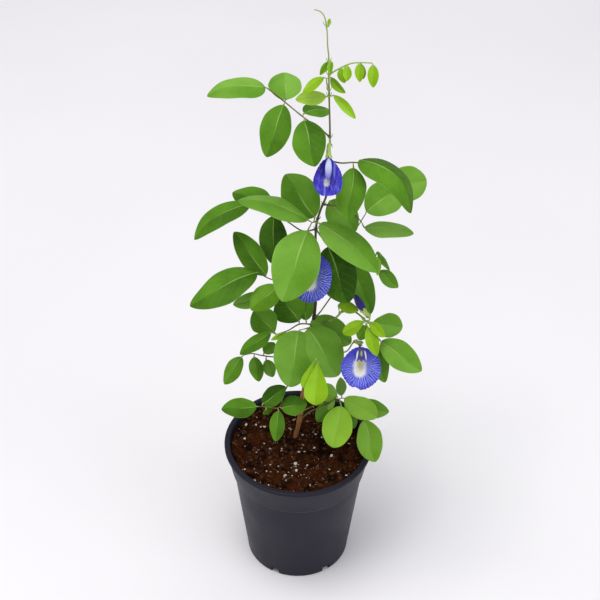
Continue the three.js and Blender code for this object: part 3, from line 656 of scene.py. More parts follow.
class Finish(Graph):
    """A material with a Principled shader; each kind wires its own from blotches, grain and traits.

    The scale of the blotches is per metre.
    """

    blotch_scale: float

    def __init__(self, name: str, effects: Effects) -> None:
        """Starts the material and wires it.

        Args:
            name: Name of the material.
            effects: The shared effects.
        """
        self.material = bpy.data.materials.new(name)
        self.material.use_nodes = True
        super().__init__(self.material.node_tree)
        self.effects = effects
        self.place = self.node("ShaderNodeTexCoord", {}, "Object")
        self.chart = self.node("ShaderNodeUVMap", {}, uv_map=SURFACE_MAP)
        cloud = self.group(effects.mottle, Place=self.place, Scale=self.blotch_scale)
        self.blotches, self.grain = cloud["Blotches"], cloud["Grain"]
        traits = self.node("ShaderNodeAttribute", {}, "Vector", attribute_name=TRAITS)
        self.tone, self.underside, self.youth = self.split(traits)
        self.wire()

    def surface(self, colour: Value, roughness: Value, height: Value, relief: float, **same: float) -> None:
        """Feeds the shader.

        Args:
            colour: Its base colour.
            roughness: Its roughness.
            height: Its relief from 0 to 1.
            relief: The full height of the relief in metres.
            **same: Numbers that are the same all over, by the shader's own names.
        """
        shader = self.tree.nodes["Principled BSDF"]
        self.feed(shader.inputs["Base Color"], colour)
        self.feed(shader.inputs["Roughness"], roughness)
        bump = self.node("ShaderNodeBump", {"Height": height, "Distance": relief, "Strength": 1.0})
        self.feed(shader.inputs["Normal"], bump)
        for name, value in same.items():
            shader.inputs[name.replace("_", " ")].default_value = value


@dataclass(frozen=True)
class LeafColours:
    """Greens of a leaf of one age, from the deep green of painted shade through the plain middle green to
    the bright green of painted light, and of its veins and underside.
    """

    deep: Triple
    middle: Triple
    bright: Triple
    vein: Triple
    below: Triple


class LeafFinish(Finish):
    """Leaf blade: matt green above with pale veins, duller below, and a fine net in relief; painted shade
    and light from each leaflet's tone, and one half painted lighter.
    """

    blotch_scale = 60.0
    mature: LeafColours = LeafColours(
        (0.021, 0.08, 0.0005), (0.097, 0.262, 0.011), (0.2, 0.425, 0.052), (0.37, 0.58, 0.14),
        (0.13, 0.28, 0.06),
    )
    young: LeafColours = LeafColours(
        (0.13, 0.28, 0.003), (0.24, 0.46, 0.005), (0.36, 0.68, 0.05), (0.52, 0.7, 0.16), (0.34, 0.52, 0.07)
    )

    def wire(self) -> None:
        """Wires the greens of both ages by painted shade and light from the tone and the lighter half, and
        by blotches, under the veins.
        """
        veins = self.group(self.effects.veins, Place=self.chart)
        # painted shade and light: the tone darkens or lightens each leaflet, and one half is painted lighter
        # as if lit
        shade = self.tone + (self.blotches * 0.44 - 0.22) + (veins["Half"] * 0.42 - 0.21)
        traced = veins["Midrib"] * veins["Way"].ramp(0.8, 0.25) * 0.6
        ages = [
            self.layers(
                age.deep, (shade + 1.0, age.middle), (shade, age.bright), (veins["Net"] * 0.04, age.vein),
                (veins["Side"] * 0.1, age.vein), (veins["Edge"] * 0.22, age.vein),
                (self.underside * 0.6, age.below), (traced, age.vein),
            )
            for age in (self.mature, self.young)
        ]
        colour = self.layers(ages[0], (self.youth, ages[1]))
        roughness = self.underside * 0.15 + self.blend(self.grain, 0.5, 0.62)
        sunk = veins["Net"] * 0.2 + veins["Side"] * 0.55 + veins["Midrib"]
        self.surface(colour, roughness, self.grain * 0.2 - sunk, 0.00016, Specular_IOR_Level=0.1)


class SepalFinish(LeafFinish):
    """Calyx and bracts: the leaf's finish in paler greens."""

    mature = LeafColours(
        (0.17, 0.3, 0.04), (0.36, 0.5, 0.11), (0.5, 0.62, 0.2), (0.55, 0.66, 0.26), (0.34, 0.46, 0.14)
    )
    young = LeafColours(
        (0.28, 0.42, 0.06), (0.45, 0.6, 0.14), (0.58, 0.72, 0.25), (0.62, 0.74, 0.3), (0.42, 0.55, 0.16)
    )


class StalkFinish(Finish):
    """Leaf stalk or rachis: green when young, turning reddish brown, with grain along it."""

    blotch_scale = 160.0
    green: Triple = (0.29, 0.44, 0.09)
    brown: Triple = (0.07, 0.035, 0.014)

    def wire(self) -> None:
        """Wires the grain, and the browning that youth holds back."""
        streaks = self.noise(self.squeezed(self.place, (1.0, 1.0, 0.3)), 900.0)
        browned = self.blotches * 0.5 + 0.5 - self.youth + streaks * 0.3
        colour = self.layers(self.green, (browned, self.brown))
        roughness = self.blend(self.grain, 0.55, 0.7)
        self.surface(colour, roughness, streaks, 0.00008, Specular_IOR_Level=0.3)


class BarkFinish(Finish):
    """Stem: orange-brown wood at the foot, a dark stretch above it and green towards the tip.

    Each stop is a height in millimetres with its colour; the lowest and the highest come first.
    """

    blotch_scale = 220.0
    stops: tuple[tuple[float, Triple], ...] = (
        (100.0, (0.36, 0.15, 0.035)), (440.0, (0.34, 0.45, 0.1)), (150.0, (0.36, 0.155, 0.04)),
        (188.0, (0.19, 0.085, 0.03)), (208.0, (0.03, 0.017, 0.016)), (228.0, (0.024, 0.02, 0.013)),
        (250.0, (0.05, 0.065, 0.017)), (320.0, (0.085, 0.115, 0.03)), (375.0, (0.16, 0.17, 0.045)),
        (405.0, (0.3, 0.4, 0.07)),
    )
    streak: Triple = (0.035, 0.018, 0.01)
    lichen: Triple = (0.33, 0.25, 0.15)

    def wire(self) -> None:
        """Wires the stops by height, with dark streaks and lichen on the woody part."""
        metres = self.split(self.place)[2]
        low, high = self.stops[0][0], self.stops[1][0]
        risen = (metres - low * MM) / ((high - low) * MM)
        ground = self.node("ShaderNodeValToRGB", {0: risen})
        points = ground.socket.node.color_ramp.elements
        for number, (height, colour) in enumerate(self.stops):
            share = (height - low) / (high - low)
            point = points[number] if number < 2 else points.new(share)
            point.position = share
            point.color = (*colour, 1.0)
        streaks = self.noise(self.squeezed(self.place, (1.0, 1.0, 0.12)), 1400.0, 4.0)
        woody = metres.ramp(0.24, 0.2)
        dark = streaks.ramp(0.42, 0.72) * (woody * 0.35 + 0.15)
        colour = self.layers(ground, (dark, self.streak), (self.blotches * woody * 0.15, self.lichen))
        self.surface(colour, self.blend(streaks, 0.5, 0.8), streaks, 0.0002, Specular_IOR_Level=0.3)


class BannerFinish(Finish):
    """Banner petal: violet blue with paler rays, a white tongue and a yellow spot on it.

    Lengths are shares of the petal's length. The left side and the top are painted deeper as shade. A tone
    of 1
    gives the folded flower: deeper violet all over as painted shade, painted shadow in its folds and
    furrows, painted highlight on its right fold and ridges, a pale stripe and a narrow tongue.
    """

    blotch_scale = 120.0
    deep: Triple = (0.036, 0.034, 0.46)
    blue: Triple = (0.11, 0.11, 0.72)
    ray: Triple = (0.36, 0.44, 1.0)
    rim: Triple = (0.06, 0.035, 0.42)
    # painted shade that darkens the folded flower all over
    folded_shade: Triple = (0.042, 0.024, 0.5)
    # painted shadow colour of the folded flower's folds and furrows
    fold_shadow: Triple = (0.016, 0.01, 0.2)
    white: Triple = (0.92, 0.94, 0.97)
    cream: Triple = (0.92, 0.88, 0.6)
    yellow: Triple = (0.8, 0.77, 0.2)
    below: Triple = (0.1, 0.09, 0.5)
    tongue_top: float = -0.05
    tongue_end: float = 0.1
    tongue_aside: float = 0.03
    tongue_half: float = 0.135
    folded_half: float = 0.05
    folded_short: float = 0.04

    def wire(self) -> None:
        """Wires rays, painted shade on the left side, the folded flower's painted shade, fold shadows and
        highlights, and the tongue with its spot.
        """
        rays = self.group(self.effects.rays, Place=self.chart)
        down, reach, ray = rays["Down"], rays["Reach"], rays["Ray"]
        across = rays["Across"] - self.tongue_aside
        opened = 1.0 - self.tone
        crest = ray.ramp(0.42, 0.85) * (reach.ramp(0.5, 0.2) * 0.55 + 0.4) * down.ramp(-0.34, -0.04)
        # painted shade: the left side and the top are painted deeper, as if in shade
        aside = across.ramp(0.0, 0.4) * down.ramp(0.3, -0.1) * 0.5
        upper = down.ramp(-0.06, -0.2) * self.tone
        # painted shadow in the folds beside the tongue, on the folded flower's upper half
        fold_shadows = self._line(across, 0.12, 0.08).most(self._line(across, -0.12, 0.03)) * upper
        # painted shade in the folded petal's furrows and painted highlight on its ridges, as dark and pale
        # streaks
        streaks = self.noise(self.squeezed(self.chart, (1.0, 0.16, 1.0)), 46.0, 2.0)
        furrows = streaks.ramp(0.5, 0.3) * self.tone * 0.75
        # a pale stripe below the spot, and painted highlight along the right fold of the upper half
        low = self._line(across, 0.05, 0.035) * down.ramp(0.06, 0.14) * self.tone
        high = self._line(across, -0.19, 0.04) * upper
        stripe_and_highlights = (low.most(high) * 0.42).most(streaks.ramp(0.54, 0.7) * self.tone * 0.3)
        short = self.tone * self.folded_short
        below_end = down - down.most(short + self.tongue_top).least(self.tongue_end - short)
        beside = across * across
        off = (below_end * below_end + beside).root()
        half = self.blend(self.tone, self.tongue_half, self.folded_half)
        tongue = ((ray * -0.045 + off) / half).ramp(1.12, 0.72)
        heart = off.ramp(0.1, 0.02) * down.ramp(-0.02, 0.06) * opened
        above = down + 0.065
        spot = (above * above * 1.4 + beside).root().ramp(0.1, 0.045) * opened
        line = abs(across).ramp(0.014, 0.0) * tongue * opened
        colour = self.layers(
            self.deep, (self.blotches, self.blue), (crest * (opened * 0.75 + 0.25), self.ray),
            (reach.ramp(0.4, 0.56) * 0.75, self.rim), (aside, self.deep), (self.tone * 0.72, self.folded_shade),
            (fold_shadows.most(furrows) * 0.85, self.fold_shadow), (stripe_and_highlights, self.ray), (tongue * 0.94, self.white),
            (heart * 0.8, self.cream), (spot * 0.9, self.yellow), (line * 0.5, self.yellow),
            (self.underside * 0.6, self.below),
        )
        self.surface(
            colour, self.blend(self.grain, 0.55, 0.7), self.grain * 0.2 + ray, 0.00024,
            Sheen_Weight=0.15, Sheen_Roughness=0.4, Specular_IOR_Level=0.2,
        )

    @staticmethod
    def _line(across: Signal, middle: float, half: float) -> Signal:
        """A soft line along the petal, at a place across it."""
        return abs(across - middle).ramp(half, half * 0.3)


class WingFinish(Finish):
    """Wing petal: violet with a pale band.

    The band lies at a place across the petal's map that the tone gives, from the first to the last
    share of its length; youth says how pale it is.
    """

    blotch_scale = 260.0
    violet: Triple = (0.05, 0.035, 0.38)
    pale: Triple = (0.8, 0.84, 0.8)
    breadth: float = 0.26
    first: float = 0.3
    last: float = 0.94
    fade: float = 0.12

    def wire(self) -> None:
        """Wires the band, and blotches and veins under it."""
        across, way, _ = self.split(self.chart)
        veins = self.group(self.effects.veins, Place=self.chart, Pairs=3.0, Sweep=0.9)
        band = abs(across - self.tone).ramp(self.breadth, self.breadth * 0.6)
        span = way.ramp(self.first - self.fade, self.first + self.fade)
        span = span * way.ramp(self.last + self.fade, self.last - self.fade)
        colour = self.layers(
            self.violet, (self.blotches * 0.12, self.pale), (band * span * self.youth, self.pale)
        )
        self.surface(
            colour, self.blend(self.grain, 0.5, 0.64), veins["Side"] * 0.5 + self.grain, 0.0001,
            Sheen_Weight=0.15, Specular_IOR_Level=0.25,
        )


class KeelFinish(WingFinish):
    """Keel: deep violet with a green band."""

    violet = (0.035, 0.02, 0.28)
    pale = (0.42, 0.55, 0.16)
    breadth = 0.17
    first = 0.36
    last = 0.66


class FoldedWingFinish(WingFinish):
    """Wings and keel of the folded flower: pale all over but for the tip."""

    violet = (0.2, 0.2, 0.66)
    pale = (0.56, 0.62, 0.86)
    breadth = 0.66
    first = 0.0
    last = 0.72
    fade = 0.3


class BudFinish(WingFinish):
    """Rolled petals of the bud: dark violet with a faint band."""

    violet = (0.02, 0.016, 0.15)
    pale = (0.09, 0.09, 0.4)
    breadth = 0.2
    first = 0.08
    last = 0.85


class SoilFinish(Finish):
    """Potting mix: dark brown with reddish fibre, hollows painted black as shade and a rough crumb."""

    blotch_scale = 90.0
    dark: Triple = (0.006, 0.0024, 0.001)
    brown: Triple = (0.08, 0.022, 0.005)
    red: Triple = (0.21, 0.05, 0.012)
    chip: Triple = (0.2, 0.085, 0.035)

    def wire(self) -> None:
        """Wires fibre and the painted shade of hollows at two scales, and bark chips where the tone is high.
        """
        fine = self.group(self.effects.mottle, Place=self.place, Scale=420.0)
        # painted shade: hollows where the fine grain is low, and broad patches, are painted near black
        shaded_hollow = (fine["Grain"].ramp(0.75, 0.25) * 0.85).most(self.blotches.ramp(0.55, 0.15) * 0.85)
        colour = self.layers(
            self.dark, (self.blotches, self.brown), (fine["Blotches"] * 0.6, self.red), (shaded_hollow, self.dark),
            (self.tone * self.tone * 0.7, self.chip),
        )
        height = fine["Grain"] * 0.4 + fine["Blotches"]
        self.surface(colour, self.blend(fine["Grain"], 0.8, 1.0), height, 0.0012, Specular_IOR_Level=0.05)


class PerliteFinish(Finish):
    """Perlite and grit in the soil: off-white grains, stained brown in their pits."""

    blotch_scale = 500.0
    white: Triple = (0.95, 0.9, 0.84)
    stain: Triple = (0.36, 0.17, 0.09)

    def wire(self) -> None:
        """Wires the stain, which is strong on grains of a high tone."""
        share = self.blotches * 0.2 + self.tone.ramp(0.55, 1.0) * 0.7
        colour = self.layers(self.white, (share, self.stain))
        self.surface(colour, self.blend(self.grain, 0.7, 0.9), self.grain, 0.0003)


class PlasticFinish(Finish):
    """Moulded charcoal plastic: satin, with faint flow marks, specks of dust and rubbed patches.

    A thin line at the foot of the band is painted paler as a highlight; its height and half-width are in
    metres.
    """

    blotch_scale = 28.0
    charcoal: Triple = (0.0065, 0.0062, 0.0155)
    worn: Triple = (0.013, 0.0125, 0.026)
    dust_and_highlight: Triple = (0.07, 0.064, 0.072)
    highlight_height: float = 0.0803
    highlight_half: float = 0.0007

    def wire(self) -> None:
        """Wires flow marks drawn out upright, the painted highlight at the band's foot and the dust."""
        grit = self.group(self.effects.mottle, Place=self.place, Scale=300.0)
        flow = self.noise(self.squeezed(self.place, (1.0, 1.0, 0.06)), 260.0)
        speck = grit["Grain"].ramp(0.8, 1.0) * self.blotches * 0.5
        # painted highlight: a thin pale line at the foot of the band, in the dust colour
        edge = abs(self.split(self.place)[2] - self.highlight_height).ramp(self.highlight_half, 0.0)
        colour = self.layers(
            self.charcoal, (flow * 0.3 + self.blotches * 0.5, self.worn), (edge * 0.5, self.dust_and_highlight),
            (speck, self.dust_and_highlight),
        )
        roughness = speck * 0.3 + self.blend(self.blotches, 0.42, 0.54)
        self.surface(colour, roughness, flow * 0.5 + grit["Grain"], 0.00004, Specular_IOR_Level=0.22)


class FloorFinish(Finish):
    """A pale floor with the faintest cloudiness."""

    blotch_scale = 3.0
    light: Triple = (0.92, 0.91, 0.925)
    dim: Triple = (0.89, 0.88, 0.9)

    def wire(self) -> None:
        """Wires the cloudiness."""
        self.surface(self.layers(self.light, (self.blotches, self.dim)), 0.85, self.grain, 0.0001)


class Palette:
    """All finishes of the potted plant as materials."""

    def __init__(self) -> None:
        """Makes every material once."""
        effects = Effects()
        self.leaf = LeafFinish("leaf", effects).material
        self.calyx = SepalFinish("calyx", effects).material
        self.stalk = StalkFinish("leaf_stalk", effects).material
        self.bark = BarkFinish("stem_bark", effects).material
        self.banner = BannerFinish("banner_petal", effects).material
        self.wing = WingFinish("wing_petal", effects).material
        self.keel = KeelFinish("keel_petal", effects).material
        self.folded_wing = FoldedWingFinish("folded_wing", effects).material
        self.bud = BudFinish("bud_petal", effects).material
        self.soil = SoilFinish("soil", effects).material
        self.perlite = PerliteFinish("perlite", effects).material
        self.plastic = PlasticFinish("pot_plastic", effects).material
        self.floor = FloorFinish("floor", effects).material


# Leaves


def crowd(share: Array) -> Array:
    """Shares crowded towards both ends, so that an outline's ends are round."""
    return (1 - np.cos(math.pi * share)) / 2


def outline_width(along: Array, widest: float, fullness: float) -> Array:
    """Half-width of an outline as a share of its greatest: a sine hump moved and filled out."""
    stretched = np.clip(along, 0, 1) ** (math.log(0.5) / math.log(widest))
    return np.clip(np.sin(math.pi * stretched), 0, None) ** fullness


@dataclass(frozen=True)
class BladeFrame:
    """Directions of a blade: along it, across it and out of its upper face."""

    along: Array
    across: Array
    out: Array

    @classmethod
    def of(cls, foot: Array, tip: Array, turn: float, outward: Array | None = None) -> "BladeFrame":
        """The frame of a blade that faces one way, turned about its length.

        Args:
            foot: Where the blade starts.
            tip: Where it ends.
            turn: Turn about its length in degrees.
            outward: The way its upper face looks; towards the eye when left out.

        Returns:
            Its directions.
        """
        along = unit(tip - foot)
        facing = -VIEW.axes()[0] if outward is None else outward
        out = unit(facing - along * (along @ facing))
        angle = math.radians(turn)
        out = out * math.cos(angle) + np.cross(along, out) * math.sin(angle)
        return cls(along, np.cross(along, out), out)


@dataclass(frozen=True)
class Relief:
    """Fine form and fineness of a blade: lengths in millimetres, the others as shares.

    Wanderings and ruffles are how many radians the waves of its border and its edge run through.
    """

    columns: int = 16
    rows: int = 28
    thick: float = 0.42
    thin: float = 0.22
    groove: float = 0.24
    puff: float = 0.16
    ruffle: float = 0.045
    sway: float = 0.018
    wander: float = 0.012
    wanderings: float = 17.0
    ruffles: float = 9.0
    groove_half: float = 0.7


SMALL_RELIEF = Relief(8, 14, 0.4, 0.24, 0.0, 0.1, 0.05, 0.0, 0.0)
TOOTH_RELIEF = Relief(4, 7, 0.3, 0.2, 0.0, 0.0, 0.0, 0.0, 0.0)


@dataclass(frozen=True)
class Blade:
    """A leaf-like body: outline and bends; sizes in millimetres, turns in degrees."""

    wide: float
    turn: float = 0.0
    bow: float = 0.06
    fold: float = -8.0
    widest: float = 0.46
    fullness: float = 0.64
    end_width: float = 0.6
    relief: Relief = Relief()
    chance: float = 0.0
    outward: Array | None = None

    def body(self, foot: Array, tip: Array, traits: Traits) -> Patch:
        """A closed thin body from foot to tip.

        Its middle surface runs from foot to tip inside a filled sine outline. It rises as a parabola
        along its length, slopes with its fold away from the midrib, domes in each half, ripples at
        the edge and sinks in a narrow groove along the midrib.

        Args:
            foot: Where it starts, in millimetres.
            tip: Where it ends.
            traits: Traits of the whole body.

        Returns:
            The body.
        """
        relief = self.relief
        frame = BladeFrame.of(foot, tip, self.turn, self.outward)
        length = np.linalg.norm(tip - foot)
        way = crowd(np.linspace(0, 1, relief.rows + 1))[:, None]
        u = np.sin(np.linspace(-1, 1, relief.columns + 1) * math.pi / 2)[None, :]
        away, side = np.abs(u), np.sign(u)
        reach = np.maximum(self.end_width, self.wide * outline_width(way, self.widest, self.fullness)) / 2
        reach = reach * (1 + relief.wander * np.sin(way * relief.wanderings + self.chance + 2 * side))
        sway = relief.sway * length * np.sin(FULL_TURN * way) * math.sin(self.chance)
        lift = self.bow * length * 4 * way * (1 - way) + away * reach * math.sin(math.radians(self.fold))
        lift = lift + relief.puff * reach * away * (1 - away)
        ruffled = np.sin(way * relief.ruffles + self.chance + 1.3 * side)
        lift = lift + relief.ruffle * reach * away**2 * ruffled
        lift = lift - relief.groove * np.exp(-((away * reach / relief.groove_half) ** 2))
        aside = u * reach * math.cos(math.radians(self.fold)) + sway
        points = foot + (tip - foot) * way[..., None] + aside[..., None] * frame.across
        points = points + lift[..., None] * frame.out
        thickness = relief.thin + (relief.thick - relief.thin) * (1 - away**2) + 0 * way
        places = np.stack([(u + 1) / 2 + 0 * way, way + 0 * u], -1)
        return Patch.sheet(points, thickness, places, traits, ring=False)

    def midrib(self, foot: Array, tip: Array, way: float) -> Array:
        """The point of the bowed midrib at a share of the way."""
        arch = self.bow * np.linalg.norm(tip - foot) * 4 * way * (1 - way)
        return foot + (tip - foot) * way + BladeFrame.of(foot, tip, self.turn, self.outward).out * arch


class LeafShading(Enum):
    """How much painted shade (below 0) or painted light (above 0) a leaflet's green gets, from -1 to 1;
    partly its own tone too.
    """

    # levels of painted shade and painted light on a leaflet's green
    DARK = -0.85
    DIM = -0.35
    PLAIN = 0.0
    LIT = 0.5
    PALE = 1.0


DARK, DIM, PLAIN, LIT, PALE = LeafShading


@dataclass(frozen=True)
class Leaflet:
    """One leaflet: readings of its foot and tip, its width in millimetres and how it bends.

    The youth stands in for the leaf's own. The tone is mostly painted shade and light, partly the leaflet's
    own tone.
    """

    foot: Reading
    tip: Reading
    wide: float
    turn: float = 0.0
    bow: float = 0.06
    fold: float = -8.0
    widest: float = 0.46
    fullness: float = 0.64
    youth: float | None = None
    tone: LeafShading = PLAIN


@dataclass(frozen=True)
class Leaf:
    """One compound leaf: where it grows on the main stem or the shoot, its rachis and its leaflets."""

    name: str
    rachis: tuple[Reading, ...]
    leaflets: tuple[Leaflet, ...]
    rise: float = 0.0
    way: float = 0.0
    youth: float = 0.0


@dataclass(frozen=True)
class LeafForm:
    """Sizes that all leaves share, in millimetres; a stalk's swelling and taper as shares."""

    rachis_radius: float = 0.52
    rachis_end_radius: float = 0.36
    joint_radius: float = 0.85
    joint_length: float = 1.8
    rachis_sides: int = 8
    ring_step: float = 1.5
    small_wide: float = 7.0
    stalk_radius: float = 0.32
    stalk_joint_radius: float = 0.5
    stalk_rings: int = 9
    swelling_at: float = 0.6
    swelling_spread: float = 0.3
    taper_from: float = 0.85
    taper: float = 0.75
    stalk_youth: float = 0.6
    rachis_youth: float = 0.15
    into_blade: float = 1.5


@dataclass
class CompoundLeaf:
    """A compound leaf: a rachis, short stalks and leaflets with veins; its root is on the stem."""

    spec: Leaf
    root: Array
    form: LeafForm
    palette: Palette

    def __post_init__(self) -> None:
        """Lays the rachis from the root through its readings."""
        self.route = Route(np.vstack([self.root, VIEW.nearer(self.root, self.spec.rachis)]))

    def _leaflet(self, leaflet: Leaflet, number: int) -> tuple[Patch, Patch]:
        """One leaflet and its stalk: a rod from the rachis into the blade, thicker at the joint.

        Args:
            leaflet: Its readings.
            number: Its number in the leaf, which sets its ripples.

        Returns:
            The blade and the stalk.
        """
        form = self.form
        foot, tip = VIEW.nearer(self.root, [leaflet.foot, leaflet.tip])
        chance = 1.7 * number + 0.9 * len(self.spec.name)
        youth = self.spec.youth if leaflet.youth is None else leaflet.youth
        small = leaflet.wide < form.small_wide
        blade = Blade(
            leaflet.wide, leaflet.turn, leaflet.bow, leaflet.fold, leaflet.widest, leaflet.fullness,
            relief=SMALL_RELIEF if small else Relief(), chance=chance,
        )
        body = blade.body(foot, tip, Traits(leaflet.tone.value, youth))
        end = blade.midrib(foot, tip, form.into_blade / np.linalg.norm(tip - foot))
        route = Route(np.vstack([self.route.points[self.route.nearest(foot)], foot, end]))
        share = np.linspace(0, 1, form.stalk_rings)
        swelling = np.exp(-(((share - form.swelling_at) / form.swelling_spread) ** 2))
        taper = 1 - form.taper * np.clip((share - form.taper_from) / (1 - form.taper_from), 0, 1)
        radius = (form.stalk_radius + (form.stalk_joint_radius - form.stalk_radius) * swelling) * taper
        return body, Patch.tube(route, radius, form.rachis_sides, Traits(youth=form.stalk_youth + youth))

    def make(self) -> None:
        """Makes the leaf's piece: leaflets, and a tapering rachis with a swollen joint at the stem."""
        form, spec = self.form, self.spec
        piece = Piece(f"{spec.name}_grown", [self.palette.leaf, self.palette.stalk])
        for number, leaflet in enumerate(spec.leaflets):
            blade, stalk = self._leaflet(leaflet, number)
            piece.add(blade, 0)
            piece.add(stalk, 1)
        share = np.linspace(0, 1, max(FEWEST_RINGS, int(self.route.length / form.ring_step)))
        joint = np.exp(-((share * self.route.length / form.joint_length) ** 2))
        radius = form.rachis_radius + (form.rachis_end_radius - form.rachis_radius) * share
        radius = radius + (form.joint_radius - form.rachis_radius) * joint
        traits = Traits(youth=spec.youth + form.rachis_youth)
        piece.add(Patch.tube(self.route, radius, form.rachis_sides, traits), 1)
        piece.make(Slot.YOUNG_LEAF if spec.youth else Slot.LEAF, [spec.name])


